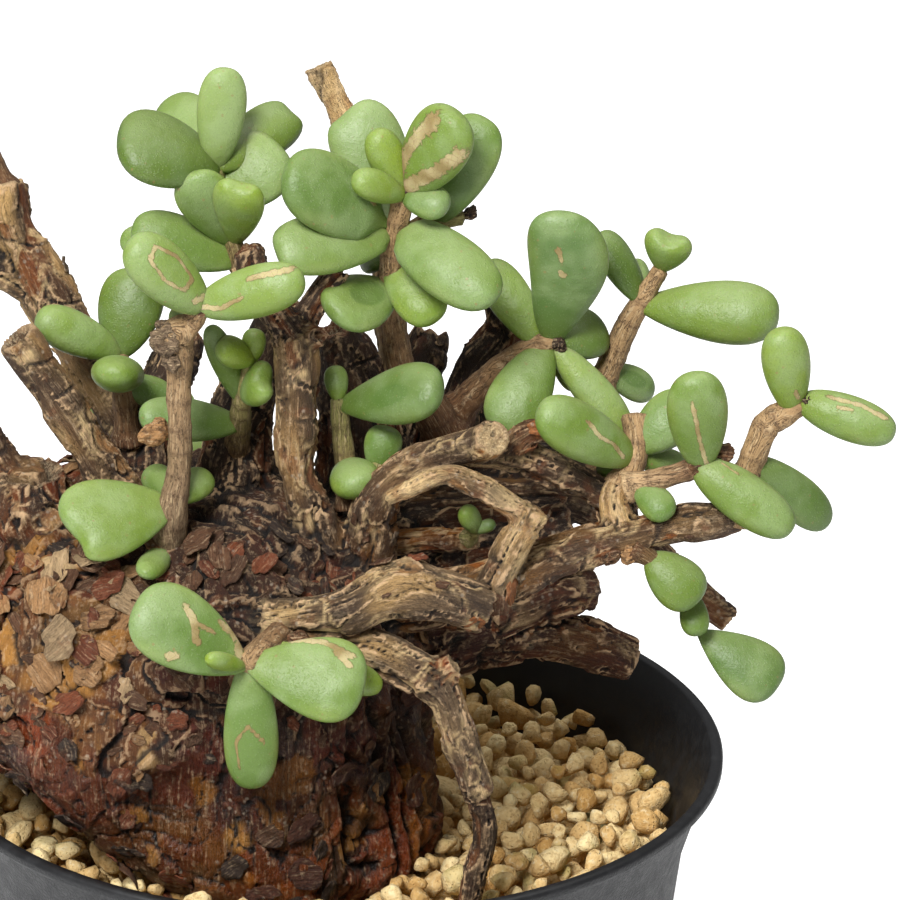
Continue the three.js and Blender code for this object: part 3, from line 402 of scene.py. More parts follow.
LEAFY_STEMS = {
    "stem_crown": {
        "stem": [
            (-7.5, -9, 132, 1.2), (-10, -8, 135.5, 1.1), (-10.5, -8, 138, 1.0),
            (-12, -7, 142.5, 0.9),
            (-12.5, -7, 146.5, 0.8)],
        "leaves": [
            (1, -23, -9, 150.4, 10.4, 4.4, 20, 0), (1, -11.5, -6, 157.5, 5.6, 3.2, 10, 0),
            (1, -18, 3, 150.6, 7, 3.6, -10, 0), (1, -4.1, 2, 150, 6.4, 3.6, 0, 0.12),
            (0.75, -5.9, -4, 148.3, 9.2, 3.6, 0, 0), (0.5, -15.1, -11, 147, 6.4, 3, -30, 0),
            (0.5, -9.6, -13, 147, 6, 3.4, 0, 0.12), (0.3, -21.5, -9, 140.1, 6.4, 3.8, 0, 0),
            (0.3, -23, -4, 137, 5, 3.2, 0, 0)],
    },
    "stem_tan": {
        "stem": [
            (-17.5, -15, 103, 2.4), (-17, -17, 109.5, 1.8), (-16, -17, 115, 1.3),
            (-16, -17, 123, 1.3),
            (-16, -17, 129, 1.5), (-16.5, -17, 130.5, 2.1), (-14.5, -17, 132.5, 1.2),
            (-13.5, -18, 134.5, 1.1)],
        "leaves": [
            (1, -21.2, -20, 142.5, 6.6, 4.4, 0, 0), (1, -2.5, -20, 138.6, 6, 4.4, 10, 0),
            (1, -17, -14, 131.5, 3.0, 2.0, 0, 0), (0.18, -28.6, -22, 110, 9.8, 3.2, 0, 0.14),
            (0.05, -19.5, -24, 105.5, 3.4, 2.2, 0, 0), (0.2, -19.5, -12, 113, 3.8, 2.6, 0, 0),
            (0.2, -13, -12, 112.5, 4, 2.6, 0, 0)],
    },
    "stem_left": {
        "stem": [(-22.5, 1, 111, 1.4), (-23, 0, 117.5, 1.3), (-23.5, 1, 121.5, 1.0)],
        "leaves": [
            (1, -32.5, -1, 126.5, 5.2, 4.2, 0, 0), (1, -21.5, 5, 130, 7.6, 3.8, 0, 0),
            (0.7, -23.5, -9, 123, 6.2, 4.4, 0, 0), (0.6, -17.5, 2, 115.5, 4.0, 2.6, 0, 0)],
    },
    "stem_centre": {
        "stem": [
            (13, 1, 112, 2.4), (10.5, 0, 117, 2.0), (8, -1, 121, 1.6), (7, -2, 126, 1.4),
            (6.5, -3, 131.5, 1.3), (7, -4, 138, 1.3), (8, -5, 143, 1.2)],
        "leaves": [
            (0.86, -5, -9, 146.7, 9.4, 4.6, 0, 0), (0.9, 1.8, 0, 151.7, 8.6, 3.8, 0, 0.1),
            (1, 4.6, -5, 150.3, 4.4, 3.4, 0, 0), (1, 2.5, -9, 146, 3.9, 3.2, 0, 0),
            (1, 13.7, -8, 153.4, 7.9, 4.2, 0, 0), (1, 12.7, -8, 142.6, 4.2, 3, 0, 0),
            (0.84, -6.2, -11, 138.2, 7.4, 3.8, 0, 0.06), (0.86, 18, -13, 133.8, 8, 4.8, 0, 0),
            (0.72, 11.8, -8, 129.5, 5.8, 3.4, 0, 0), (0.66, 0.2, -11, 131.2, 7.6, 3.6, 0, 0),
            (0.8, 3.5, 1, 132.5, 3.6, 2.4, 0, 0)],
    },
    "stem_centre_right": {
        "stem": [(8, -4, 137.5, 1.1), (10.5, -3, 139, 1.1), (14.5, -2, 139.5, 1.0)],
        "leaves": [(0.5, 16.8, -1, 150.5, 7.6, 3.6, 0, 0)],
    },
    "stem_orange": {
        "stem": [(14, 4, 114, 1.8), (19, 0, 121, 1.5), (23, -1, 124, 1.3), (25, -1, 124.5, 0.9)],
        "leaves": [
            (0.9, 24.7, -4, 140.9, 9.2, 4, 0, 0), (0.9, 30.2, 4, 124.5, 6.8, 3.2, 0, 0),
            (0.9, 27.5, 3, 117.5, 3.2, 2.2, 0, 0), (0.8, 19, -7, 116, 7.2, 4, 0, 0),
            (0.7, 17, 4, 132, 5.2, 3.0, 0, 0), (0.9, 33, -4, 115.1, 4.4, 3.4, 0, 0)],
    },
    "stem_upright": {
        "stem": [
            (31, 0, 109, 1.8), (30.3, 3, 117, 1.55), (31.5, 3, 121.5, 1.4), (33, 3, 125.5, 1.3),
            (34.8, 3, 128.8, 1.1), (36.5, 3, 132, 0.9)],
        "leaves": [
            (1, 37.4, 2, 136.6, 5.6, 3.6, 0, 0.12), (0.72, 49.5, 0, 127.6, 7.6, 5.6, 0, 0),
            (0.75, 29.6, 6, 135, 4.6, 3.2, 30, 0), (0.78, 34, 8, 131, 2.6, 1.8, 40, 0),
            (0.3, 36, 6, 116, 4.2, 2.6, 0, 0)],
    },
    "stem_fork": {
        "stem": [
            (32.5, -10, 111, 1.6), (33.5, -9, 113.5, 1.5), (34, -8, 115.5, 1.4),
            (34, -6, 118, 1.9)],
        "leaves": [
            (0.4, 23, -14, 121.5, 6.8, 4.6, 0, 0), (0.6, 40, -6, 120, 6.4, 3.6, 0, 0),
            (0.4, 39.5, -4, 111.5, 3.4, 2.4, 0, 0), (0.3, 30, -4, 111, 3.2, 2.0, 0, 0)],
    },
    "stem_right": {
        "stem": [(33, -11, 111.5, 1.4), (37, -12, 113, 1.2), (41, -12, 114.5, 1.1)],
        "leaves": [
            (1, 39.8, -14, 126.2, 7.0, 4.4, 0, 0), (0.97, 51, -15, 108.2, 6, 4.8, 0, 0),
            (0.15, 37.5, -15, 109.6, 4, 2.8, 0, 0)],
    },
    "stem_far_right": {
        "stem": [
            (44.5, -10.5, 107.5, 1.8), (46.5, -10, 114.5, 1.5), (48, -10, 118.5, 1.5),
            (50, -10, 120, 1.5), (52, -10, 121.5, 1.1)],
        "leaves": [
            (0.85, 49.2, -11, 130.4, 5.6, 4.4, 0, 0), (1, 62, -12, 118.6, 5.4, 4.6, 0, 0),
            (0.25, 55.5, -6, 105.5, 5.4, 3.6, 0, 0)],
    },
    "stem_hanging": {
        "stem": [
            (33.5, -14, 105.5, 1.2), (36, -14, 104, 1.0), (40, -12, 99.5, 0.9),
            (41.5, -12, 94.5, 0.7)],
        "leaves": [
            (0.3, 41, -16, 100, 6.2, 3.8, 0, 0), (0.7, 41, -15, 95.5, 3.4, 2.6, 0, 0),
            (1, 50.2, -14, 89, 7.2, 3.4, 0, 0)],
    },
    "stem_front": {
        "stem": [(-4, -24, 99.5, 1.6), (-6.5, -30, 99.5, 1.4), (-8.5, -33, 99, 1.2)],
        "leaves": [
            (1, -20, -33, 106, 9.2, 3.6, 0, 0), (0.9, 4.7, -34, 97.2, 9.8, 3.6, 0, 0),
            (0.8, -7.4, -33, 84.5, 6.2, 3.6, 0, 0), (1, -12.1, -37, 101.6, 2.1, 2.2, 0, 0),
            (0.4, 6.5, -28, 94.5, 4.2, 2.8, 0, 0)],
    },
    "stem_young": {
        "stem": [(-10.5, -1, 110, 1.5), (-9.5, -8, 119.5, 1.1), (-8.5, -9, 125, 0.9)],
        "leaves": [
            (1, -12, -12, 127.5, 3.8, 2.8, 0, 0), (1, -8, -9, 128.5, 2.8, 2.0, 0, 0),
            (0.6, -6.3, -12, 124.1, 5.2, 3, 0, 0.2), (0.5, -13, -11, 129.5, 3.2, 2.4, 0, 0),
            (0.3, -20.5, -12, 119.2, 5.4, 3.4, 0, 0)],
    },
    "stem_behind_ringed": {
        "stem": [(2.5, -8, 107, 1.3), (1.5, -6, 114.5, 1.1), (1, -6, 119.5, 0.9)],
        "leaves": [
            (0.9, 13, -12, 122.7, 7.2, 4.2, 0, 0), (0.3, 3.8, -13, 111.5, 5.8, 3.8, 0, 0),
            (1, 0.5, -4, 122.4, 2.8, 2.2, 0, 0)],
    },
    "stem_arch_sprig": {
        "stem": [(5, -10, 109, 1.2), (5.5, -8, 113, 1.0)],
        "leaves": [(0.8, 6.5, -7, 116.6, 4.4, 3.0, 0, 0)],
    },
    "stem_stub_sprig": {
        "stem": [(15.5, -9, 104, 0.9), (16.5, -12, 106.5, 0.7)],
        "leaves": [(1, 15, -13, 109.5, 2.6, 2.0, 0, 0), (1, 18.5, -12.5, 107.5, 1.6, 1.4, 0, 0)],
    },
    "stem_far_left_top": {
        "stem": [(-37, 14, 135.5, 1.6), (-42, 15, 146, 1.2), (-46, 14, 152, 1.0)],
        "leaves": [
            (1, -53, 10, 157, 7.6, 4.0, 0, 0), (1, -42, 13, 160, 7.0, 3.6, 10, 0),
            (0.6, -54, 15, 147, 6.4, 3.8, 0, 0), (0.6, -44, 22, 155, 6.8, 3.6, 180, 0),
            (0.4, -44, 7, 149, 5.0, 3.2, 0, 0.2)],
    },
    "stem_left_fork": {
        "stem": [(-46, 13, 132, 1.4), (-50, 13, 136, 1.2), (-52, 12, 140, 1.0)],
        "leaves": [
            (1, -60, 9, 146, 7.2, 4.2, 0, 0), (1, -49, 7, 149, 6.6, 3.6, 0, 0.2),
            (0.6, -60, 12, 134, 6.4, 4.0, 0, 0), (0.5, -46, 20, 141, 6.4, 3.8, 180, 0),
            (0.2, -41, 6, 134, 5.2, 3.6, 0, 0)],
    },
    "stem_left_arm": {
        "stem": [(-54.5, -5, 109, 1.5), (-55.5, -5, 115, 1.3), (-55, -6, 119, 1.0)],
        "leaves": [
            (1, -62, -10, 126, 7.2, 4.2, 0, 0), (1, -49, -8, 127, 7.0, 3.8, 0, 0),
            (0.6, -45, -11, 117, 6.6, 4.0, 0, 0), (0.6, -60, 3, 121, 6.8, 3.8, 180, 0),
            (0.2, -64, -8, 109, 6.2, 3.8, 0, 0.2)],
    },
    "stem_left_back": {
        "stem": [(-47, 19, 104.5, 1.5), (-51, 23, 109, 1.2), (-53, 26, 113, 1.0)],
        "leaves": [
            (1, -60, 30, 119, 7.0, 4.0, 160, 0), (1, -47, 31, 121, 6.8, 3.8, 180, 0.2),
            (0.6, -61, 21, 112, 6.6, 4.0, 90, 0), (0.4, -43, 29, 112, 6.0, 3.6, 180, 0)],
    },
    "stem_back": {
        "stem": [(-17.5, 30, 95.5, 1.4), (-19, 35, 95, 1.1), (-21, 38, 96, 0.9)],
        "leaves": [
            (1, -30, 41, 98, 7.6, 4.0, 150, 0), (1, -20, 48, 99, 7.2, 3.8, 180, 0.2),
            (0.5, -11, 41, 96, 6.6, 4.0, 180, 0), (0.3, -25, 30, 88, 5.8, 3.6, 150, 0)],
    },
    "stem_back_right": {
        "stem": [(11.5, 26, 95.5, 1.4), (14, 31, 95, 1.1), (15, 34, 96, 0.9)],
        "leaves": [
            (1, 10, 44, 98, 7.2, 3.8, 180, 0), (1, 22, 40, 96, 7.0, 4.0, 150, 0),
            (0.4, 4, 34, 93, 6.0, 3.6, 180, 0)],
    },
}


def between(rows, first, share):
    """The smooth curve through rows of numbers, a share of the way from one row to the next"""
    ends = np.vstack([2 * rows[0] - rows[1], rows, 2 * rows[-1] - rows[-2]])
    a, b, c, d = ends[first:first + 4]
    return 0.5 * (2 * b + (c - a) * share + (2 * a - 5 * b + 4 * c - d) * share ** 2
                  + (3 * b - a - 3 * c + d) * share ** 3)


def through(rows, step):
    """Points about a step apart along the smooth curve through rows of numbers"""
    rows = np.array(rows, dtype=float)
    made = []
    for first in range(len(rows) - 1):
        count = max(2, round(np.linalg.norm(rows[first + 1, :3] - rows[first, :3]) / step))
        made += [between(rows, first, share) for share in np.arange(count) / count]
    return np.array(made + [rows[-1]])


def lengths_along(points):
    """How far along a line of points each of them lies"""
    return np.concatenate([[0], np.cumsum(np.linalg.norm(np.diff(points, axis=0), axis=1))])


def axes_along(points):
    """The direction of a curve at each point, and two sideways axes that turn with it"""
    ahead = np.gradient(points, axis=0)
    ahead /= np.linalg.norm(ahead, axis=1)[:, None]
    side = np.cross(ahead[0], (0.3, 1.0, 0.2))
    sides = []
    for direction in ahead:
        side = side - direction * np.dot(side, direction)
        side = side / np.linalg.norm(side)
        sides.append(side)
    sides = np.array(sides)
    return ahead, sides, np.cross(ahead, sides)


def ringed_cylinder(bm, sides, rings):
    """A closed cylinder of height 1 with a number of rings, given as its points"""
    before = len(bm.verts)
    made = bmesh.ops.create_cone(bm, cap_ends=True, segments=sides, radius1=1, radius2=1, depth=1)
    uprights = {edge for vert in made["verts"] for edge in vert.link_edges
                if abs(edge.verts[0].co.z - edge.verts[1].co.z) > 0.5}
    bmesh.ops.subdivide_edges(bm, edges=list(uprights), cuts=rings - 2)
    bm.verts.ensure_lookup_table()
    return bm.verts[before:]


def tube(bm, rows, sides, step, wobble=None):
    """A closed tube along a route, from a ringed cylinder that is bent into place"""
    line = through(rows, step)
    _, across, upward = axes_along(line[:, :3])
    fresh = ringed_cylinder(bm, sides, len(line))
    for vert in fresh:
        ring = round((vert.co.z + 0.5) * (len(line) - 1))
        angle = math.atan2(vert.co.y, vert.co.x)
        reach = line[ring, 3] * (wobble(ring, angle) if wobble else 1)
        spot = line[ring, :3] + reach * (math.cos(angle) * across[ring]
                                         + math.sin(angle) * upward[ring])
        vert.co = Vector(spot)
    return fresh, line


def caudex_point(height_share, angle):
    """A point on the plain caudex: how far up its rings, and its heading in radians"""
    x, y, z, half_x, half_y = CAUDEX_CURVE[round(height_share * (len(CAUDEX_CURVE) - 1))]
    lumps = 1 + sum(high * math.sin(count * angle + twist * z)
                    for count, twist, high in CAUDEX_LUMPS)
    return np.array((x + half_x * lumps * math.cos(angle), y + half_y * lumps * math.sin(angle), z))


CAUDEX_CURVE = through(CAUDEX_RINGS, 1.0)
print("branches", len(OLD_BRANCHES), "leafy stems", len(LEAFY_STEMS),
      "leaves", sum(len(rows["leaves"]) for rows in LEAFY_STEMS.values()))

# %% [markdown]
# ## The old wood: one body
# Dead branches grow out of the caudex without a seam. So all tubes and the caudex are put in
# one mesh, and a voxel Remesh welds them into a single skin of even small squares. A few rounds
# of smoothing turn each sharp joint into a fillet.

# %% Weld the wood
WOOD_VOXEL = 0.34
JOINT_SMOOTHING = 5
BRANCH_SIDES, BRANCH_STEP = 18, 1.0

bm = bmesh.new()
for rows in OLD_BRANCHES.values():
    tube(bm, rows, BRANCH_SIDES, BRANCH_STEP)
for vert in ringed_cylinder(bm, CAUDEX_SIDES, len(CAUDEX_CURVE)):
    vert.co = Vector(caudex_point(vert.co.z + 0.5, math.atan2(vert.co.y, vert.co.x)))
bmesh.ops.recalc_face_normals(bm, faces=bm.faces)
raw = bpy.data.objects.new("raw_wood", mesh_of(bm, "raw_wood"))
scene.collection.objects.link(raw)
weld = raw.modifiers.new("weld", "REMESH")
weld.mode = "VOXEL"
weld.voxel_size = WOOD_VOXEL * MM
fillet = raw.modifiers.new("fillet", "SMOOTH")
fillet.iterations = JOINT_SMOOTHING
skin = with_modifiers(raw)
print("wood skin:", len(skin.vertices), "points")

# %% [markdown]
# ## Grain
# Cracks in dead wood run along the branch. The Remesh forgets which branch a point belongs to,
# so each point looks up the nearest spot on the tubes and takes its grain from there: how far
# along the branch it is, and how far to either side of the pith. Each row of grain holds the
# place and radius of a ring, its three axes, how far along it lies and the branch's length.

# %% Grain of every point
def read(mesh, name, width):
    """The places or normals of all points of a mesh, a row for each"""
    values = np.empty(len(getattr(mesh, name)) * width)
    getattr(mesh, name).foreach_get({"vertices": "co", "vertex_normals": "vector"}[name], values)
    return values.reshape(-1, width)


BARK = {
    # branch: colour at its foot, colour at its tip, colour of its worn patches, how it ends
    "far_left_branch": ("grey", "pale", "brown", "cut"),
    "far_left_fork": ("grey", "grey", "brown", "cut"),
    "left_stump": ("brown", "grey", "pale", "hollow"),
    "left_dead_twig": ("brown", "dark", "rust", "split"),
    "left_broken_lobe": ("rust", "brown", "rust", "hollow"),
    "ringed_branch": ("brown", "pale", "grey", "none"),
    "ringed_branch_stub": ("grey", "dark", "brown", "split"),
    "low_arch": ("brown", "grey", "tan", "cut"),
    "low_arch_tail": ("grey", "dark", "brown", "split"),
    "low_arch_spur": ("brown", "dark", "rust", "split"),
    "bleached_twig": ("cream", "cream", "pale", "cut"),
    "bleached_elbow": ("pale", "grey", "cream", "hollow"),
    "tan_stub": ("tan", "tan", "orange", "cut"),
    "front_arm": ("grey", "grey", "pale", "split"),
    "right_arm": ("tan", "dark", "orange", "split"),
    "right_arm_fork": ("pale", "pale", "grey", "none"),
    "low_stump": ("red", "brown", "orange", "hollow"),
    "low_stump_knuckle": ("brown", "brown", "rust", "hollow"),
    "hanging_arm": ("grey", "grey", "pale", "hollow"),
    "hanging_arm_stub": ("brown", "rust", "orange", "cut"),
    "hanging_arm_tail": ("dark", "black", "grey", "none"),
    "back_low_twig": ("dark", "brown", "tan", "cut"),
    "top_back_stub": ("pale", "cream", "tan", "cut"),
}
for name in ("middle_trunk", "left_trunk", "inner_trunk", "back_dark_branch", "back_dark_trunk",
             "back_knot"):
    BARK[name] = ("black", "dark", "brown", "split")
for name in ("right_shoulder", "ringed_branch_left_top", "ringed_branch_right_top"):
    BARK[name] = ("dark", "dark", "brown", "split")
for name in ("back_arm", "back_right_arm", "left_arm", "left_back_arm"):
    BARK[name] = ("brown", "grey", "pale", "none")
TONES = {
    "cream": colour(222, 196, 156), "pale": colour(192, 160, 118), "tan": colour(172, 128, 82),
    "grey": colour(116, 96, 74), "brown": colour(100, 65, 39), "orange": colour(162, 98, 48),
    "rust": colour(124, 62, 29), "red": colour(84, 42, 21), "dark": colour(56, 39, 27),
    "black": colour(29, 20, 15), "skin": colour(166, 134, 94), "leafy": colour(150, 146, 88),
}
GRAIN_STEP = 0.5
ROUND = 14
CAUDEX_LEVELS, CAUDEX_ROUND = 90, 140
# The caudex has one row for all of it, whose axes are those of the frame
CAUDEX_GRAIN = [0, 0, 0, 20, 0, 0, 1, 1, 0, 0, 0, 1, 0, 0, 1]

positions = read(skin, "vertices", 3) / MM
normals = read(skin, "vertex_normals", 3)
samples = []
grain_rows = []
branch_of_row = []
for number, (name, rows) in enumerate(OLD_BRANCHES.items()):
    line = through(rows, GRAIN_STEP)
    ahead, across, upward = axes_along(line[:, :3])
    length = lengths_along(line[:, :3])
    for ring in range(len(line)):
        for angle in np.arange(ROUND) * 2 * math.pi / ROUND:
            spot = line[ring, :3] + line[ring, 3] * (math.cos(angle) * across[ring]
                                                     + math.sin(angle) * upward[ring])
            samples.append((spot, len(grain_rows)))
        grain_rows.append(np.concatenate([line[ring], ahead[ring], across[ring], upward[ring],
                                          [length[ring], length[-1]]]))
        branch_of_row.append(number)
caudex_row = len(grain_rows)
for share in np.linspace(0, 1, CAUDEX_LEVELS):
    for angle in np.arange(CAUDEX_ROUND) * 2 * math.pi / CAUDEX_ROUND:
        samples.append((caudex_point(share, angle), caudex_row))
grain_rows.append(np.array(CAUDEX_GRAIN))
branch_of_row.append(-1)
tree = KDTree(len(samples))
for index, (spot, row) in enumerate(samples):
    tree.insert(Vector(spot), index)
tree.balance()
nearest = np.array([tree.find(spot)[1] for spot in positions])
row_of = np.array([row for spot, row in samples])[nearest]
branch = np.array(branch_of_row)[row_of]
held = np.array(grain_rows)[row_of]
branch_radius, branch_way, branch_length = held[:, 3], held[:, 4:7], held[:, 14]
from_pith = positions - held[:, 0:3]
forward = np.sum(from_pith * branch_way, axis=1)
grain = np.stack([held[:, 13] + forward, np.sum(from_pith * held[:, 7:10], axis=1),
                  np.sum(from_pith * held[:, 10:13], axis=1)], axis=1)
on_caudex = (branch < 0).astype(float)
past_end = grain[:, 0] - branch_length
print("points on the caudex:", int(on_caudex.sum()), "on branches:", int((1 - on_caudex).sum()))

# %% [markdown]
# ## Bark relief
# Old bark breaks into plates. Each plate is tilted a little, so one edge stands proud and
# throws a shadow, and dark seams run between them. Branches get long narrow plates and fine
# fissures along the grain. The caudex gets broad flakes, and deep furrows on its right.

# %% Relief
edges = np.empty(len(skin.edges) * 2, dtype=np.int64)
skin.edges.foreach_get("vertices", edges)
edges = edges.reshape(-1, 2)
degree = np.bincount(edges.ravel(), minlength=len(positions)).astype(float)


def soften(values, rounds):
    """Averages values over neighbouring points of the skin, a number of times"""
    values = np.array(values, dtype=float)
    flat = values.reshape(len(values), -1)
    for _ in range(rounds):
        for column in range(flat.shape[1]):
            total = np.bincount(edges[:, 0], flat[edges[:, 1], column], len(flat))
            total += np.bincount(edges[:, 1], flat[edges[:, 0], column], len(flat))
            flat[:, column] = 0.3 * flat[:, column] + 0.7 * total / degree
    return flat.reshape(values.shape)


# Bark of the branches, in millimetres. The first two rows grow with a branch's thickness
LUMP_RISE, TILT_RISE, KNOT_RISE = 0.4, 0.42, 0.3
SEAM_DEPTH, FALLEN_DEPTH, JOINT_DEPTH = 0.22, 0.34, 0.3
FISSURE_DEPTH, SMALL_TILT_RISE, CHIP_DEPTH, FINE_RISE, SCAB_RISE = 0.42, 0.09, 0.03, 0.03, 0.1
# Bark of the caudex: what it gains from its smooth foot to its flaky top, in millimetres
PLATE_RISE, CHIP_RISE = (1.1, 1.0), (0.528, 0.792)
CRUMB_RISE, GRIT_RISE = (0.06, 0.08), (0.03, 0.03)
SWELL_RISE, CRACK_DEPTH, FURROW_DEPTH, FURROW_RAGGEDNESS = 1.2, 0.45, 2.6, 0.5
# Where the flaky top begins, and the headings and heights between which the furrows lie
FLAKY_HEIGHTS = (83, 92)
FURROW_HEADINGS = (-56, -44, 10, 25)
FURROW_HEIGHTS = (64, 70, 94, 101)
FURROWS_PER_TURN = 21


def band(values, rise_from, rise_to, fall_from, fall_to):
    """1 between two limits, 0 outside them, and soft steps between"""
    return ease(values, rise_from, rise_to) * (1 - ease(values, fall_from, fall_to))


def branch_relief(grain, thick):
    """Bark of the bare branches: its height in millimetres, where dark lines run, how near a
    plate's edge a place is, random numbers for its plates and chips, and where a plate has
    fallen off"""
    warp = np.stack([waves(grain * 0.25, 11), waves(grain * 0.3, 12), waves(grain * 0.3, 13)], 1)
    edge, level, tilt = plates(grain * (0.09, 0.42, 0.42) + warp * 0.5, 3)
    broken = ease(waves(grain * (0.2, 0.5, 0.5), 17), -0.25, 0.15)
    seam = (1 - ease(edge, 0.0, 0.055)) * broken
    fallen = ease(level, 0.76, 0.80) * ease(edge, 0.0, 0.1)
    small_edge, small_level, small_tilt = plates(grain * (0.12, 0.9, 0.9) + warp * 0.8, 23)
    chip = 1 - ease(small_edge, 0.0, 0.14)
    rare = ease(waves(grain * (0.06, 0.2, 0.2), 29), -0.1, 0.3)
    fissure = rare * np.exp(-(waves(grain * (0.035, 0.5, 0.5) + warp * 0.12, 31) / 0.035) ** 2)
    joint = np.exp(-(waves(grain * (0.13, 0.05, 0.05) + warp * 0.08, 37) / 0.02) ** 2)
    joint = joint * ease(waves(grain * 0.12, 39), 0.0, 0.25)
    lumps = waves(grain * 0.16, 41)
    knots = ease(waves(grain * 0.22, 43), 0.25, 0.6)
    fine = waves(grain * (0.12, 1.2, 1.2), 51)
    height = (thick * (LUMP_RISE * lumps + TILT_RISE * tilt - SEAM_DEPTH * seam
                       - FALLEN_DEPTH * fallen + KNOT_RISE * knots - JOINT_DEPTH * joint)
              - FISSURE_DEPTH * fissure + SMALL_TILT_RISE * small_tilt - CHIP_DEPTH * chip
              + FINE_RISE * fine + fallen * SCAB_RISE * waves(grain * (0.3, 1.1, 1.1), 53))
    dark_line = np.maximum(0.6 * seam, np.maximum(fissure, joint))
    return height, dark_line, edge, level, small_level, fallen


def caudex_relief(spots, heading):
    """Bark of the caudex: its height in millimetres, how furrowed a place is, how far it belongs
    to the flaky top, random numbers for its plates, chips and crumbs, and where it is cracked"""
    warp = np.stack([waves(spots * 0.12, seed) for seed in (61, 62, 63)], 1)
    small_warp = np.stack([waves(spots * 0.5, seed) for seed in (64, 65, 66)], 1)
    edge, level, tilt = plates(spots * (0.13, 0.13, 0.09) + warp * 0.7 + small_warp * 0.1, 71)
    seam = 1 - ease(edge, 0.0, 0.05)
    _, chip_level, chip_tilt = plates(spots * (0.25, 0.25, 0.17) + warp + small_warp * 0.14, 83)
    _, crumb_level, crumb_tilt = plates(spots * 0.7 + small_warp * 0.5, 87)
    crumbs = 1 - 2 * np.abs(waves(spots * 0.8 + small_warp * 0.4, 91))
    upper = ease(spots[:, 2] + 6 * warp[:, 0] - 0.12 * (spots[:, 0] + 15), *FLAKY_HEIGHTS)
    furrowed = band(heading, *FURROW_HEADINGS) * band(spots[:, 2], *FURROW_HEIGHTS)
    ribs = np.abs(np.sin(np.radians(heading) * FURROWS_PER_TURN
                         + 3.0 * waves(spots * (0.12, 0.12, 0.04), 95) + waves(spots * 0.3, 96)))
    furrow = furrowed * (1 - ribs ** 0.7)
    crack = np.exp(-(waves(spots * (0.22, 0.22, 0.05) + warp * 0.2, 98) / 0.022) ** 2) * (1 - upper)
    height = SWELL_RISE * waves(spots * 0.09, 97) - CRACK_DEPTH * crack - FURROW_DEPTH * furrow
    height += FURROW_RAGGEDNESS * furrowed * waves(spots * (0.5, 0.5, 0.12), 99)
    for (plain, more), shape in ((PLATE_RISE, 0.8 * tilt - 0.2 * seam), (CHIP_RISE, chip_tilt),
                                 (CRUMB_RISE, crumb_tilt), (GRIT_RISE, crumbs)):
        height += (plain + more * upper) * shape
    return height, furrow, upper, level, chip_level, crumb_level, crack


CAUDEX_AXIS = (-13, -5)
USUAL_RADIUS = 2.6
heading = np.degrees(np.arctan2(positions[:, 1] - CAUDEX_AXIS[1], positions[:, 0] - CAUDEX_AXIS[0]))
thick = np.clip(branch_radius / USUAL_RADIUS, 0.45, 1.5)
low, furrow, upper, plate_level, chip_level, crumb_level, crack = caudex_relief(positions, heading)
high, branch_seam, branch_edge, branch_level, branch_chip, fallen = branch_relief(grain, thick)
caudex_share = soften(on_caudex, 8)
height = caudex_share * low + (1 - caudex_share) * high

# %% [markdown]
# ## How branches end
# A sawn end is flat, with a rim of bark. A rotten one is hollow, and a broken one is a fringe
# of splinters. All three are pushes along the branch, near its last ring. Last, the moved skin
# is compared with a softened copy: what lies under the copy is a crevice, or a finer crease.

# %% Ends
HOLLOW_DEPTH, CUT_DISH, CUT_GRAIN, SPLINTER_LENGTH, SPLIT_DEPTH = 2.2, 0.3, 0.12, 0.8, 0.9
CORE_MIDDLE, CORE_RIM = 0.45, 0.85
CREVICE_ROUNDS, CREASE_ROUNDS = 10, 2
FULL_CREVICE, FULL_CREASE = 0.5, 0.12

ending = np.array([BARK[name][3] for name in OLD_BRANCHES] + ["none"])[branch]
across_pith = np.hypot(grain[:, 1], grain[:, 2]) / branch_radius
at_face = ease(np.sum(normals * branch_way, axis=1), 0.5, 0.9) * ease(past_end, -1.0, -0.3)
at_face = np.where((ending == "none") | (branch < 0), 0, at_face)
core = 1 - ease(across_pith, CORE_MIDDLE, CORE_RIM)
splinter = waves(grain * (0.05, 0.9, 0.9), 101)
near_end = ease(past_end, -3.0, 0.3)
push = np.where(ending == "hollow", -HOLLOW_DEPTH * at_face * core, 0)
push = np.where(ending == "cut", at_face * (CUT_GRAIN * splinter - CUT_DISH * core), push)
push = np.where(ending == "split",
                SPLINTER_LENGTH * near_end * splinter - SPLIT_DEPTH * at_face * core, push)
cut_mask = at_face * ease(across_pith, 1.02, 0.8)

moved = positions + normals * height[:, None] + branch_way * push[:, None]
crevice, crease = (np.sum((soften(moved, rounds) - moved) * normals, axis=1)
                   for rounds in (CREVICE_ROUNDS, CREASE_ROUNDS))

# %% [markdown]
# ## Bark colours
# Each branch has its own colours at its foot and tip, with patches where the bark is worn.
# The caudex is tan and flaky on top and a smoother dark red below. Painted shade blackens its
# furrows, and darkens its top among the branches, the feet of the branches and the wood under
# the arms.

# %% Colours of the wood
CAUDEX_PATCHES = [
    # x, y and z of the middle, radius, colour
    (-29, -18, 103, 2.6, "cream"), (-33, -15, 103, 3.4, "tan"), (-24, -24, 98, 5.0, "tan"),
    (-29, -24, 93, 4.6, "tan"), (-21, -22, 102, 4.0, "brown"), (-32, -24, 87, 4.0, "rust"),
    (-19, -28, 86, 1.4, "cream"), (-19, -28, 88.5, 1.2, "cream"), (-24, -27, 82, 5.0, "red"),
    (-13, -27, 81, 2.2, "tan"), (-9, -27, 76, 2.0, "tan"), (-15, -27, 73, 4.0, "red"),
    (-5, -27, 73, 4.0, "red"), (1, -24, 86, 3.0, "rust"), (-8, -26, 92, 5.0, "brown"),
    (4, -18, 74, 3.0, "brown"), (-28, -19, 99, 3.0, "dark"), (-16, -24, 99, 3.4, "dark"),
]
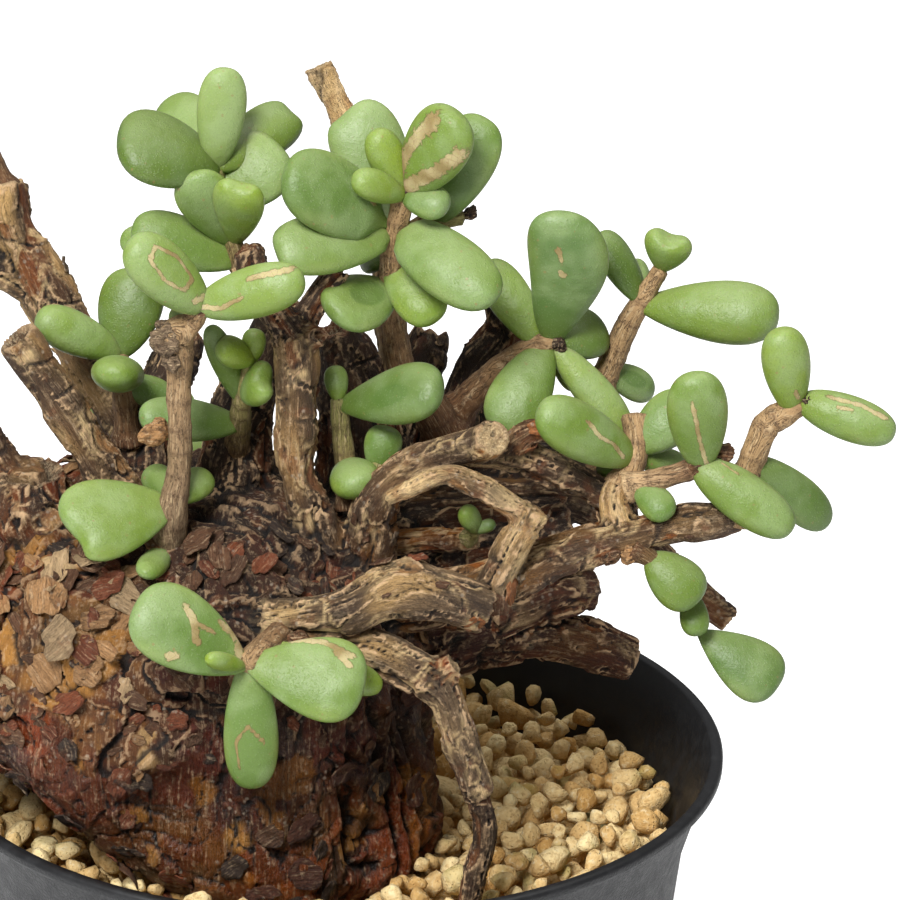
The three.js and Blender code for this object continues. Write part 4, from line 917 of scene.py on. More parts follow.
# What is left of red, green and blue on the caudex's front, what the painted shade under the
# arms and on the low stump takes away, and how much richer all colours get
FRONT_SHADE = (0.46, 0.36, 0.27)
UNDER_SHADE = (0.5, 0.64, 0.72)
RICHNESS = 1.3


def tones(names):
    """Rows of red, green and blue for names of colours"""
    return np.array([TONES[name][:3] for name in names])


def blend(first, second, share):
    """Colours between two lists of colours"""
    share = np.asarray(share)[:, None]
    return first * (1 - share) + second * share


def stain(colours, name, share):
    """Colours with a share of a named one"""
    return blend(colours, tones([name]), share)


names = list(OLD_BRANCHES)
foot, tip, worn = (tones([BARK[name][part] for name in names] + ["brown"]) for part in range(3))
tint = blend(foot[branch], tip[branch], np.clip(grain[:, 0] / branch_length, 0, 1))
openness = ease(tint.mean(axis=1), 0.02, 0.11)
tint = tint * (0.5 + 0.8 * branch_level + 0.3 * (branch_chip - 0.5))[:, None]
patch = ease(waves(grain * (0.14, 0.3, 0.3), 111), 0.1, 0.45)
tint = blend(tint, worn[branch], patch * (0.35 + 0.45 * openness))
damp = ease(waves(grain * (0.07, 0.16, 0.16), 117), -0.05, 0.3)
stump_branches = [names.index("low_stump"), names.index("low_stump_knuckle")]
damp = np.where(np.isin(branch, stump_branches), 0.35 * damp, damp)
tint = stain(tint, "dark", 0.86 * damp)
weathered = ease(waves(grain * (0.1, 0.24, 0.24), 119), 0.15, 0.5)
tint = stain(tint, "pale", 0.8 * weathered * (1 - 0.7 * damp) * openness)
# Painted shade below and behind the arms, on the low stump and the back branches
painted_shade_under_arms = ((1 - ease(positions[:, 2], 100, 106)) * ease(positions[:, 0], 5, 12)
             * ease(positions[:, 1], -20, -14))
tint = tint * (1 - painted_shade_under_arms[:, None] * UNDER_SHADE)
tint = blend(tint, (worn[branch] + tones(["rust"])) / 2, fallen * 0.8)
pale_rim = ease(branch_edge, 0.04, 0.09) * (1 - ease(branch_edge, 0.12, 0.22))
pale_rim = pale_rim * ease(waves(grain * (0.2, 0.3, 0.3), 113), -0.1, 0.3)
tint = stain(tint, "cream", 0.85 * openness * pale_rim)
tint = stain(tint, "black", 0.85 * branch_seam)

red_skin = blend(tones(["red"]), tones(["brown"]), ease(waves(positions * 0.1, 123), 0.0, 0.5))
burnt = ease(waves(positions * (0.16, 0.16, 0.09), 124), 0.1, 0.5)
red_skin = stain(red_skin, "black", 0.55 * burnt)
red_skin = red_skin * (0.65 + 0.7 * chip_level)[:, None]
red_skin = stain(red_skin, "tan", 0.7 * ease(chip_level, 0.88, 0.9))
red_skin = stain(red_skin, "rust", 0.6 * ease(plate_level, 0.7, 0.72))
red_skin = stain(red_skin, "black", 0.8 * crack)
scales = tones(["brown", "rust", "dark", "brown", "tan", "dark", "red", "brown"])
chip_tone, crumb_tone = (scales[np.minimum((level * len(scales)).astype(int), len(scales) - 1)]
                         for level in (chip_level, crumb_level))
flake_skin = blend(chip_tone, crumb_tone, np.full(len(positions), 0.25))
flaky = ease(upper + 0.35 * waves(positions * 0.3, 121), 0.4, 0.6)
low_tint = blend(red_skin, flake_skin, flaky)
ragged = 0.5 * waves(positions * 0.5, 127)
for x, y, z, radius, name in CAUDEX_PATCHES:
    away = np.linalg.norm(positions - (x, y, z), axis=1) / radius + ragged
    low_tint = stain(low_tint, name, 0.85 * (1 - ease(away, 0.6, 0.9)))
# Painted shade in the furrows
low_tint = low_tint * (1 - 0.8 * ease(furrow, 0.2, 0.7)[:, None])
shadowed = ease(waves(positions * 0.2, 129), 0.05, 0.4) * flaky
low_tint = stain(low_tint, "dark", 0.6 * shadowed)
# Painted shade on the caudex's top, among the feet of the branches
painted_shade_among_branches = ease(positions[:, 2], 94, 99) * ease(positions[:, 0], -25, -15)
low_tint = stain(low_tint, "dark", 0.6 * painted_shade_among_branches)
low_tint = low_tint * blend(np.ones((1, 3)), np.array([FRONT_SHADE]),
                            ease(positions[:, 0], -27, -15) * ease(positions[:, 2], 74, 82))
tint = blend(tint, low_tint, caudex_share)
# Painted shade where the branches grow out of the caudex
painted_shade_at_junctions = 4 * caudex_share * (1 - caudex_share)
tint = stain(tint, "black", 0.6 * painted_shade_at_junctions)
END_TONES = {"hollow": "dark", "cut": "cream", "split": "rust", "none": "brown"}
tint = blend(tint, tones([END_TONES[end] for end in ending]), cut_mask)
middle = tint.mean(axis=1)[:, None]
tint = np.clip(middle + RICHNESS * (tint - middle), 0, 1)

skin.vertices.foreach_set("co", (moved * MM).ravel())
store(skin, "tint", np.hstack([tint, np.ones((len(tint), 1))]))
upright = positions[:, [2, 0, 1]]
store(skin, "grain", np.where(branch[:, None] < 0, upright, grain))
store(skin, "crevice", np.clip(crevice / FULL_CREVICE, -1, 1))
store(skin, "crease", np.clip(crease / FULL_CREASE, -1, 1))
store(skin, "caudex", caudex_share)
store(skin, "flaky", flaky * caudex_share)
store(skin, "cut_end", cut_mask)
print("relief from", round(height.min(), 2), "to", round(height.max(), 2), "mm")

# %% [markdown]
# ## Shared effects
# Two node groups serve several materials. Fibres draws the long cracks and streaks of wood
# along a grain. Freckles scatters fine dots, as on leaves and dusty bark.

# %% Node groups
def new_group(name, inputs, outputs):
    """An empty node group with its sockets, and the nodes that stand for them"""
    group = bpy.data.node_groups.new(name, "ShaderNodeTree")
    for title, kind in inputs:
        group.interface.new_socket(title, in_out="INPUT", socket_type="NodeSocket" + kind)
    for title, kind in outputs:
        group.interface.new_socket(title, in_out="OUTPUT", socket_type="NodeSocket" + kind)
    return group, group.nodes.new("NodeGroupInput"), group.nodes.new("NodeGroupOutput")


fibres, inlet, outlet = new_group("fibres", [("Grain", "Vector"), ("Fineness", "Float")],
                                  [("Streak", "Float"), ("Crack", "Float")])
scaled = node(fibres, "VectorMath", {0: inlet.outputs["Grain"], "Scale": inlet.outputs["Fineness"]},
              operation="SCALE").outputs[0]
long_grain = node(fibres, "Mapping", {"Vector": scaled, "Scale": (0.08, 1.0, 1.0)}).outputs[0]
streak = noise(fibres, long_grain, 1.6, 5.0, 0.65, 0.4)
veins = noise(fibres, long_grain, 0.9, 3.0, 0.6, 0.8)
thin_line = maths(fibres, "ABSOLUTE", maths(fibres, "SUBTRACT", veins, 0.5))
fibres.links.new(streak, outlet.inputs["Streak"])
fibres.links.new(spread(fibres, thin_line, 0.0, 0.022, 1.0, 0.0), outlet.inputs["Crack"])

freckles, inlet, outlet = new_group("freckles", [("Vector", "Vector"), ("Per millimetre", "Float")],
                                    [("Dots", "Float"), ("Cloud", "Float")])
dots = node(freckles, "TexVoronoi", {"Vector": inlet.outputs["Vector"],
                                     "Scale": inlet.outputs["Per millimetre"]}).outputs["Distance"]
cloud = noise(freckles, inlet.outputs["Vector"], 0.35, 3.0)
freckles.links.new(spread(freckles, dots, 0.12, 0.34, 1.0, 0.0), outlet.inputs["Dots"])
freckles.links.new(cloud, outlet.inputs["Cloud"])


def use_group(tree, group, **inputs):
    """A group placed in a material, with its inputs"""
    made = node(tree, "Group", node_tree=group)
    for title, value in inputs.items():
        title = title.replace("_", " ").capitalize()
        if isinstance(value, bpy.types.NodeSocket):
            tree.links.new(value, made.inputs[title])
        else:
            made.inputs[title].default_value = value
    return made

# %% [markdown]
# ## Bark
# The colour comes from the points of the mesh, and the nodes add what is finer than a point:
# streaks and cracks along the grain, crumbs, dust, dark seams, pale edges that are worn and
# carry a painted highlight, and painted shade in crevices and creases.

# %% Bark material
def bark_material(name):
    """Old bark, over the colours that the points of a mesh hold"""
    material, tree, shader = new_material(name)
    spot = in_millimetres(tree)
    grain = attribute(tree, "grain", "Vector")
    fibre = use_group(tree, fibres, grain=grain, fineness=1.6)
    fine = use_group(tree, fibres, grain=grain, fineness=4.0)
    caudex = attribute(tree, "caudex")
    flaky = attribute(tree, "flaky")
    crevice = attribute(tree, "crevice")
    crease = attribute(tree, "crease")
    cut_end = attribute(tree, "cut_end")
    crumbs = noise(tree, spot, 1.6, 6.0, 0.7)
    blotches = noise(tree, spot, 0.35, 4.0, 0.6)
    wood = maths(tree, "SUBTRACT", 1.0, caudex)
    base = attribute(tree, "tint", "Color")
    # Light and dark streaks along the grain, and rusty blotches
    lighter = mix(tree, 0.36, base, colour(240, 208, 166))
    darker = mix(tree, 0.6, base, colour(20, 12, 8))
    streaks = maths(tree, "MULTIPLY_ADD", fibre.outputs["Streak"], 0.55,
                    maths(tree, "MULTIPLY", crumbs, 0.45))
    base = coat(tree, base, lighter, streaks, 0.5, 0.64, 0.0, 0.95)
    base = coat(tree, base, darker, streaks, 0.47, 0.3, 0.0, 0.75)
    base = coat(tree, base, colour(128, 68, 34), blotches, 0.54, 0.7, 0.0, 0.42)
    # Dark seams, fewer where the caudex is flaky
    seams = maths(tree, "MAXIMUM", maths(tree, "MULTIPLY", fibre.outputs["Crack"], 0.3),
                  maths(tree, "MULTIPLY", fine.outputs["Crack"], 0.2))
    seams = maths(tree, "MULTIPLY", seams, maths(tree, "MULTIPLY_ADD", flaky, -0.7, 1.0))
    base = coat(tree, base, colour(20, 14, 11), seams)
    # Pale edges, worn and with a painted highlight on every convex edge, broken by gaps
    edge = spread(tree, crease, -0.16, -0.65)
    wear_and_highlight_share = maths(tree, "MULTIPLY_ADD", wood, 0.85, maths(tree, "MULTIPLY", flaky, 0.4))
    edge = maths(tree, "MULTIPLY", edge, wear_and_highlight_share)
    gaps = spread(tree, noise(tree, spot, 0.55, 3.0, 0.6), 0.42, 0.58)
    edge = maths(tree, "MULTIPLY", edge, gaps)
    base = coat(tree, base, colour(222, 184, 140), edge)
    # Painted shade in crevices and creases, and dust in patches
    hollow = maths(tree, "MAXIMUM", spread(tree, crevice, 0.0, 0.6, 0.0, 0.95),
                   spread(tree, crease, 0.4, 1.0, 0.0, 0.85))
    base = coat(tree, base, colour(18, 12, 9), hollow)
    dust = use_group(tree, freckles, vector=spot, per_millimetre=1.1)
    dusty = spread(tree, dust.outputs["Cloud"], 0.52, 0.62)
    specks = maths(tree, "MULTIPLY", dust.outputs["Dots"], dusty)
    base = coat(tree, base, colour(206, 192, 170), maths(tree, "MULTIPLY", specks, 0.4))
    # Sawn and broken ends show the wood
    grit = noise(tree, spot, 4.5, 4.0, 0.6)
    ends = mix(tree, spread(tree, grit, 0.45, 0.6), colour(116, 84, 54), colour(216, 194, 154))
    base = coat(tree, base, ends, maths(tree, "MULTIPLY", cut_end, 0.45))
    # The smooth foot of the caudex shines a little, all else is dull
    dull = maths(tree, "MULTIPLY_ADD", wood, 0.3, maths(tree, "MULTIPLY", flaky, 0.4))
    dull = maths(tree, "MULTIPLY_ADD", crumbs, 0.5, dull)
    rough = spread(tree, dull, 0.15, 0.75, 0.34, 0.85)
    relief = maths(tree, "MULTIPLY_ADD", fibre.outputs["Streak"], 0.5,
                   maths(tree, "MULTIPLY", crumbs, 0.9))
    relief = maths(tree, "SUBTRACT", relief, maths(tree, "MULTIPLY", seams, 0.8))
    coarse = bump(tree, relief, 0.5)
    fine_relief = maths(tree, "MULTIPLY_ADD", fine.outputs["Streak"], 0.8,
                        maths(tree, "MULTIPLY", grit, 0.6))
    finish(tree, shader, base, rough, bump(tree, fine_relief, 0.2, coarse))
    shader.inputs["Specular IOR Level"].default_value = 0.5
    return material


bark = bark_material("old_bark")

# %% [markdown]
# ## Cutting the skin into pieces
# The skin is one closed body. It is cut by planes into a few pieces of a handy size, and each
# cut is closed again inside the wood, where nobody sees it.

# %% Cut and place the wood
def cut_out(mesh, name, planes):
    """The part of a mesh on the inner side of every plane, with its cuts closed"""
    bm = bmesh.new()
    bm.from_mesh(mesh)
    for place, outward in planes:
        everything = bm.verts[:] + bm.edges[:] + bm.faces[:]
        bmesh.ops.bisect_plane(bm, geom=everything, plane_co=Vector(place) * MM, plane_no=outward,
                               dist=1e-8, clear_outer=True)
        rim = [edge for edge in bm.edges if edge.is_boundary]
        for edge in rim:
            edge.smooth = False
        bmesh.ops.holes_fill(bm, edges=rim, sides=0)
    part = bpy.data.meshes.new(name)
    bm.to_mesh(part)
    bm.free()
    return part


SPLIT_HEIGHT = 99.3
SPLIT_X = 7.3
skin.shade_smooth()
down, side = Vector((0, 0, -1)), Vector((1, 0, 0))
for name, planes in {
    "wood_caudex": [((0, 0, SPLIT_HEIGHT), -down)],
    "wood_left": [((0, 0, SPLIT_HEIGHT), down), ((SPLIT_X, 0, 0), side)],
    "wood_right": [((0, 0, SPLIT_HEIGHT), down), ((SPLIT_X, 0, 0), -side)],
}.items():
    part = piece(name, cut_out(skin, name, planes), bark, "bark", "wood")
    print(name, triangles(part.data), "triangles")

# %% [markdown]
# ## Loose flakes
# Real flakes stand off the bark and curl, which no relief can do. Each is a small grid, bent
# and given a ragged rim, then laid on the bark and thickened.

# %% Bark flakes
# The greatest lift of a flake's end, and its least and greatest breadth to its length
FLAKE_LIFT = 0.3
FLAKE_BREADTH = (0.45, 0.85)


def flake(bm, layers, spot, outward, along, size, curl, tint, rng):
    """A curled chip of bark on a surface, with a ragged rim"""
    made = bmesh.ops.create_grid(bm, x_segments=5, y_segments=4, size=0.5)["verts"]
    outward = outward.normalized()
    along = (along - outward * along.dot(outward)).normalized()
    sideways = outward.cross(along)
    lift = rng.uniform(0.0, FLAKE_LIFT)
    wide = rng.uniform(*FLAKE_BREADTH)
    waver = [rng.uniform(0, 6.3) for _ in range(3)]
    for vert in made:
        x, y = vert.co.x, vert.co.y
        angle = math.atan2(y, x)
        reach = max(abs(x), abs(y))
        reach *= 1 + 0.16 * math.sin(2 * angle + waver[0]) + 0.10 * math.sin(5 * angle + waver[1])
        x, y = reach * math.cos(angle), reach * math.sin(angle)
        height = 0.04 + (x + 0.5) * lift * size + curl * size * (x * x + 0.5 * y * y)
        height += 0.06 * size * math.sin(9 * x + 5 * y + waver[2])
        vert.co = spot + along * x * size + sideways * y * size * wide + outward * height
        vert[layers["tint"]] = tint
        vert[layers["grain"]] = Vector((x * size, y * size, 0)) + spot


def colour_layers(bm):
    """Layers on a bmesh for the attributes that the bark material reads"""
    return {"tint": bm.verts.layers.float_color.new("tint"),
            "grain": bm.verts.layers.float_vector.new("grain")}


FLAKE_THICKNESS = 0.14
FLAKE_SEED = 8
# Where the front arm, the elbow and the low arch have snapped, and how far their splinters lie
BROKEN = [(17, -22, 100.5), (18.5, -18, 100), (4, -24, 104), (8, -22, 106), (24.5, -9, 116.5)]
BROKEN_REACH = 3.4

rng = random.Random(FLAKE_SEED)
bm = bmesh.new()
layers = colour_layers(bm)
on_flaky = flaky * caudex_share > 0.5
from_break = np.min([np.linalg.norm(positions - spot, axis=1) for spot in BROKEN], axis=0)
loose = on_flaky & (np.abs(normals[:, 2]) < 0.97)
sunlit = on_flaky & (positions[:, 0] < -18) & (positions[:, 2] > 87)
scaly = (caudex_share > 0.9) & (flaky < 0.5) & (positions[:, 2] > 66) & (furrow < 0.1)
bare = (caudex_share < 0.2) & (branch_radius > 1.6) & (past_end < -2) & (cut_mask < 0.1)
broken = from_break < BROKEN_REACH
# Where flakes may lie, how many there are, their least and greatest size and their colours
FLAKES = [(loose, 330, (1.4, 4.2), ("tan", "brown", "rust", "brown", "dark")),
          (sunlit, 150, (1.8, 5.0), ("tan", "pale", "brown", "tan", "rust")),
          (scaly, 150, (1.4, 4.2), ("red", "brown", "dark", "rust")),
          (bare, 70, (0.8, 1.8), ("grey", "pale", "brown", "dark")),
          (broken, 34, (1.4, 3.0), ("rust", "orange", "pale", "brown"))]
for choices, count, (small, large), names in FLAKES:
    for index in rng.sample(list(np.flatnonzero(choices)), count):
        base = Vector(TONES[rng.choice(names)])
        tone = base * rng.uniform(0.7, 1.15)
        tone.w = 1
        direction = Vector(branch_way[index]) if branch[index] >= 0 else Vector(
            (rng.uniform(-1, 1), rng.uniform(-1, 1), rng.uniform(-0.3, 1)))
        flake(bm, layers, Vector(moved[index]), Vector(normals[index]), direction,
              rng.uniform(small, large), rng.uniform(-0.1, 0.55), tone, rng)
bmesh.ops.solidify(bm, geom=bm.faces[:], thickness=FLAKE_THICKNESS)
bmesh.ops.recalc_face_normals(bm, faces=bm.faces)
flakes = piece("bark_flakes", mesh_of(bm, "bark_flakes"), bark, "bark", "wood")
print("flakes", triangles(flakes.data), "triangles")

# %% [markdown]
# ## Dried remains
# Old leaves shrivel and stay on their stems as brown crumpled caps, and a leafy stem swells
# into knobs where others have died back. Each is a ball, crumpled by noise and squeezed flat.

# %% Dried remains
REMAINS = {
    # stem: place, radius, squeeze and colour of each
    "stem_crown": [((-8.5, -9, 136.5), 1.9, 0.8, "brown"), ((-9.5, -10, 135.3), 1.3, 0.6, "pale")],
    "stem_tan": [((-17.4, -18, 130.6), 2.0, 0.75, "grey"),
                 ((-16.8, -18.4, 128.2), 1.3, 0.7, "grey"),
                 ((-18.6, -17, 119.4), 1.8, 0.5, "tan"),
                 ((-13.6, -18.4, 134.2), 1.0, 0.8, "brown")],
    "stem_centre_right": [((15.2, -2, 139.8), 0.9, 0.8, "dark")],
    "stem_centre": [((5.0, -4, 137.4), 1.3, 0.8, "orange"), ((8.2, -5.6, 143.2), 0.9, 0.8, "dark")],
    "stem_orange": [((25.2, -1.6, 124.6), 1.0, 0.8, "dark")],
    "stem_fork": [((33.8, -7.4, 116.4), 1.2, 0.7, "grey")],
    "stem_right": [((43.2, -11, 115.6), 1.5, 0.45, "brown"),
                   ((40.4, -12.2, 114.4), 1.2, 0.9, "brown")],
    "stem_far_right": [((52.4, -10.6, 121.8), 0.8, 0.9, "dark")],
    "stem_hanging": [((33.2, -14.6, 105.2), 1.3, 0.7, "tan"),
                     ((31.2, -14.8, 104.8), 1.2, 0.8, "brown")],
    "stem_front": [((-9.2, -32.6, 99.6), 0.9, 0.8, "brown"),
                   ((-2.6, -27, 99.6), 1.2, 0.6, "brown")],
}


def crumple(bm, layers, place, radius, squeeze, tone, seed):
    """A dry crumpled lump"""
    made = bmesh.ops.create_icosphere(bm, subdivisions=4, radius=1)["verts"]
    points = np.array([vert.co for vert in made])
    folds = 1 - 2 * np.abs(waves(points * 1.6 + 9 * seed, 131))
    reach = 0.72 + 0.3 * folds + 0.35 * waves(points * 0.9 + 5 * seed, 133)
    turn = Matrix.Rotation(1.7 * seed, 3, Vector((0.3, 0.5, 1)).normalized())
    for vert, far, fold in zip(made, reach, folds):
        shape = vert.co * float(far) * radius
        vert.co = Vector(place) + turn @ Vector((shape.x, shape.y * squeeze, shape.z))
        # Painted shade in the folds and painted light on the ridges
        shade = 0.45 + 0.75 * float(fold)
        vert[layers["tint"]] = [max(level * shade, 0.0) for level in tone[:3]] + [1]
        vert[layers["grain"]] = vert.co


# %% [markdown]
# ## Twigs
# A leafy stem is younger than the old wood. Its skin is thinner, tan to pink-brown, with a ring
# wherever a pair of leaves once sat.

# %% Twig material
def twig_material(name):
    """Thin skin of a living twig, with a dark line at each ring"""
    material, tree, shader = new_material(name)
    spot = in_millimetres(tree)
    grain = attribute(tree, "grain", "Vector")
    fibre = use_group(tree, fibres, grain=grain, fineness=3.0)
    base = attribute(tree, "tint", "Color")
    ring = attribute(tree, "ring")
    crumbs = noise(tree, spot, 2.6, 5.0, 0.65)
    base = coat(tree, base, colour(212, 186, 146), fibre.outputs["Streak"], 0.5, 0.66, 0.0, 0.5)
    base = coat(tree, base, colour(78, 50, 30), crumbs, 0.5, 0.3, 0.0, 0.7)
    cracked = maths(tree, "MULTIPLY", fibre.outputs["Crack"], 0.6)
    base = coat(tree, base, colour(46, 32, 24), cracked)
    ring_line = maths(tree, "MULTIPLY", ring, spread(tree, crumbs, 0.4, 0.6))
    base = coat(tree, base, colour(74, 50, 36), maths(tree, "MULTIPLY", ring_line, 0.7))
    rough = spread(tree, crumbs, 0.3, 0.7, 0.6, 0.85)
    relief = maths(tree, "MULTIPLY_ADD", crumbs, 0.8,
                   maths(tree, "MULTIPLY", fibre.outputs["Streak"], 0.5))
    relief = maths(tree, "SUBTRACT", relief, maths(tree, "MULTIPLY", fibre.outputs["Crack"], 0.5))
    finish(tree, shader, base, rough, bump(tree, relief, 0.2))
    shader.inputs["Specular IOR Level"].default_value = 0.35
    return material


twig_skin = twig_material("twig_skin")

# %% Twigs
TWIG_TONES = {
    # stem: colour at its foot, colour at its tip
    "stem_crown": ("brown", "leafy"), "stem_tan": ("grey", "skin"), "stem_left": ("brown", "skin"),
    "stem_centre": ("brown", "skin"), "stem_centre_right": ("skin", "leafy"),
    "stem_orange": ("brown", "skin"), "stem_upright": ("skin", "skin"),
    "stem_fork": ("skin", "skin"), "stem_right": ("pale", "brown"),
    "stem_far_right": ("skin", "skin"), "stem_hanging": ("brown", "leafy"),
    "stem_front": ("brown", "skin"), "stem_young": ("brown", "leafy"),
    "stem_behind_ringed": ("brown", "leafy"), "stem_arch_sprig": ("brown", "leafy"),
    "stem_stub_sprig": ("leafy", "leafy"),
}
RING_SPACING = (1.4, 4.2)
FIRST_RING = 0.8
RING_RISE, FOOT_SWELLING, FOOT_LENGTH = 0.05, 0.35, 2.0
TWIG_SIDES, TWIG_STEP = 18, 0.35


def twig(name, rows, seed):
    """A twig with raised rings, thicker at its foot"""
    rng = random.Random(seed)
    line = through(rows, TWIG_STEP)
    length = lengths_along(line[:, :3])
    rings = []
    place = FIRST_RING
    while place < length[-1]:
        rings.append(place)
        place += rng.uniform(*RING_SPACING)
    gaps = np.abs(length[:, None] - np.array(rings)[None, :]).min(axis=1)
    ring_share = 1 - ease(gaps, 0.12, 0.42)
    swelling = 1 + RING_RISE * ring_share + FOOT_SWELLING * (1 - ease(length, 0, FOOT_LENGTH))
    swelling[-1] *= 0.5
    lumps = waves(np.stack([length * 0.5, length * 0, length * 0 + seed], 1), 7) * 0.1
    bm = bmesh.new()
    layers = colour_layers(bm)
    ring_layer = bm.verts.layers.float.new("ring")
    fresh, line = tube(bm, rows, TWIG_SIDES, TWIG_STEP, lambda ring, angle: (
        swelling[ring] + lumps[ring] + 0.05 * math.sin(3 * angle + ring * 0.21)
        + 0.04 * math.sin(7 * angle - ring * 0.13)))
    foot, tip = (Vector(TONES[tone]) for tone in TWIG_TONES.get(name, ("brown", "skin")))
    for vert in fresh:
        ring = int(np.argmin(np.sum((line[:, :3] - np.array(vert.co)) ** 2, axis=1)))
        share = length[ring] / length[-1]
        vert[layers["tint"]] = foot.lerp(tip, share)
        away = vert.co - Vector(line[ring, :3])
        vert[layers["grain"]] = Vector((length[ring], away.x + away.z, away.y + 7 * seed))
        vert[ring_layer] = float(ring_share[ring])
    for number, (place, radius, squeeze, tone) in enumerate(REMAINS.get(name, [])):
        crumple(bm, layers, place, radius, squeeze, TONES[tone], 1 + number + seed)
    return mesh_of(bm, name + "_twig")


twig_total = 0
for seed, (name, rows) in enumerate(LEAFY_STEMS.items()):
    part = piece(name + "_twig", twig(name, rows["stem"], seed), twig_skin, "bark", name)
    twig_total += triangles(part.data)
print("twigs", twig_total, "triangles")

# %% [markdown]
# ## Leaves
# A leaf is a fat paddle: narrow where it leaves the stem, widest past the middle, blunt at the
# tip. Each starts as a cube cut into small squares and blown up to a ball, so that it has no
# poles, and the ball is then stretched to the leaf's length, width and thickness.

# %% Leaf material
def leaf_material(name):
    """Glaucous skin of a leaf, over clear flesh that lets some light through"""
    material, tree, shader = new_material(name)
    spot = in_millimetres(tree)
    along = attribute(tree, "along")
    rim = attribute(tree, "rim")
    tone = attribute(tree, "tone")
    scar = attribute(tree, "scar")
    pores = use_group(tree, freckles, vector=spot, per_millimetre=3.2)
    spots = use_group(tree, freckles, vector=spot, per_millimetre=0.8)
    stipple = noise(tree, spot, 5.0, 3.0, 0.6)
    broad = noise(tree, spot, 0.22, 2.0)
    # Green by its hue, paler in patches, at its foot and on its rim
    base = mix(tree, tone, colour(84, 113, 60), colour(124, 145, 46))
    base = coat(tree, base, colour(140, 160, 108), broad, 0.4, 0.65, 0.0, 0.55)
    base = coat(tree, base, colour(120, 136, 56), along, 0.4, 0.0, 0.0, 0.4)
    base = coat(tree, base, colour(142, 156, 72), maths(tree, "MULTIPLY", rim, 0.4))
    base = coat(tree, base, colour(84, 102, 50), stipple, 0.5, 0.66, 0.0, 0.3)
    # Each leaf's painted shade, darker for one that lies in shade and paler for one in full light,
    # then painted light on its upper side and painted shade on its underside
    shade = attribute(tree, "shade")
    base = coat(tree, base, colour(48, 74, 26), shade, 0.0, 1.0, 0.0, 0.6)
    base = coat(tree, base, colour(158, 176, 122), shade, 0.0, -1.0, 0.0, 0.7)
    upward = node(tree, "SeparateXYZ", {0: node(tree, "TexCoord").outputs["Normal"]}).outputs["Z"]
    base = coat(tree, base, colour(168, 184, 118), upward, 0.4, 1.0, 0.0, 0.25)
    base = coat(tree, base, colour(70, 96, 34), upward, 0.1, -0.8, 0.0, 0.45)
    # Windows and pores
    window = attribute(tree, "window")
    base = coat(tree, base, colour(80, 108, 48), maths(tree, "MULTIPLY", window, 0.6))
    pale_dots = maths(tree, "MULTIPLY", pores.outputs["Dots"], 0.10)
    base = coat(tree, base, colour(190, 204, 164), pale_dots)
    # Corky scars with a yellow halo, checked by fine cracks, and small blemishes
    ragged = noise(tree, spot, 1.5, 4.0, 0.65)
    cork = spread(tree, maths(tree, "MULTIPLY_ADD", ragged, 1.5, scar), 1.25, 1.4)
    halo = spread(tree, maths(tree, "MULTIPLY_ADD", ragged, 1.3, scar), 0.95, 1.25)
    base = coat(tree, base, colour(96, 100, 48), maths(tree, "MULTIPLY", halo, 0.55))
    checks = node(tree, "TexVoronoi", {"Vector": spot, "Scale": 1.1}, feature="DISTANCE_TO_EDGE")
    cork_tone = mix(tree, spread(tree, broad, 0.4, 0.6), colour(140, 122, 78),
                    colour(182, 168, 124))
    cork_tone = mix(tree, spread(tree, checks.outputs["Distance"], 0.0, 0.05, 0.35, 0.0), cork_tone,
                    colour(112, 84, 48))
    base = coat(tree, base, cork_tone, cork)
    blemish = spread(tree, maths(tree, "MULTIPLY", spots.outputs["Dots"], ragged), 0.5, 0.62)
    base = coat(tree, base, colour(140, 116, 74), maths(tree, "MULTIPLY", blemish, 0.6))
    # Scars are dull, and stand a little proud
    rough = spread(tree, maths(tree, "ADD", cork, spread(tree, stipple, 0.3, 0.7, 0.0, 0.12)),
                   0.0, 1.0, 0.4, 0.85)
    relief = maths(tree, "MULTIPLY_ADD", stipple, 0.5,
                   maths(tree, "MULTIPLY", pores.outputs["Dots"], 0.3))
    dimples = noise(tree, spot, 0.7, 2.0, 0.5)
    relief = maths(tree, "MULTIPLY_ADD", cork, 0.9, relief)
    relief = maths(tree, "MULTIPLY_ADD", dimples, 1.6, relief)
    finish(tree, shader, base, rough, bump(tree, relief, 0.09))
    shader.inputs["Subsurface Weight"].default_value = 0.3
    shader.inputs["Subsurface Radius"].default_value = (0.6, 1.0, 0.3)
    shader.inputs["Subsurface Scale"].default_value = 2.4 * MM
    shader.inputs["Specular IOR Level"].default_value = 0.4
    return material


leaf_skin = leaf_material("leaf_skin")

# %% Leaf shape
# How deep a leaf's foot sits in its stem, and the way most leaves face
LEAF_SINK = 0.7
LEAF_FACING = Vector((0, -0.75, 0.66))
PLAIN_CUTS, SCARRED_CUTS = 9, 19
WIDEST = 0.6
# How wide a leaf is at its foot, what it gains to its tip, and how square its ends are
FOOT_WIDTH, TIP_GAIN, SQUARENESS = 0.86, 0.16, 0.09
NECK_WIDTH = 0.3
NOTCH_WIDTH = 0.4
USUAL_HUES = (0.2, 0.8)
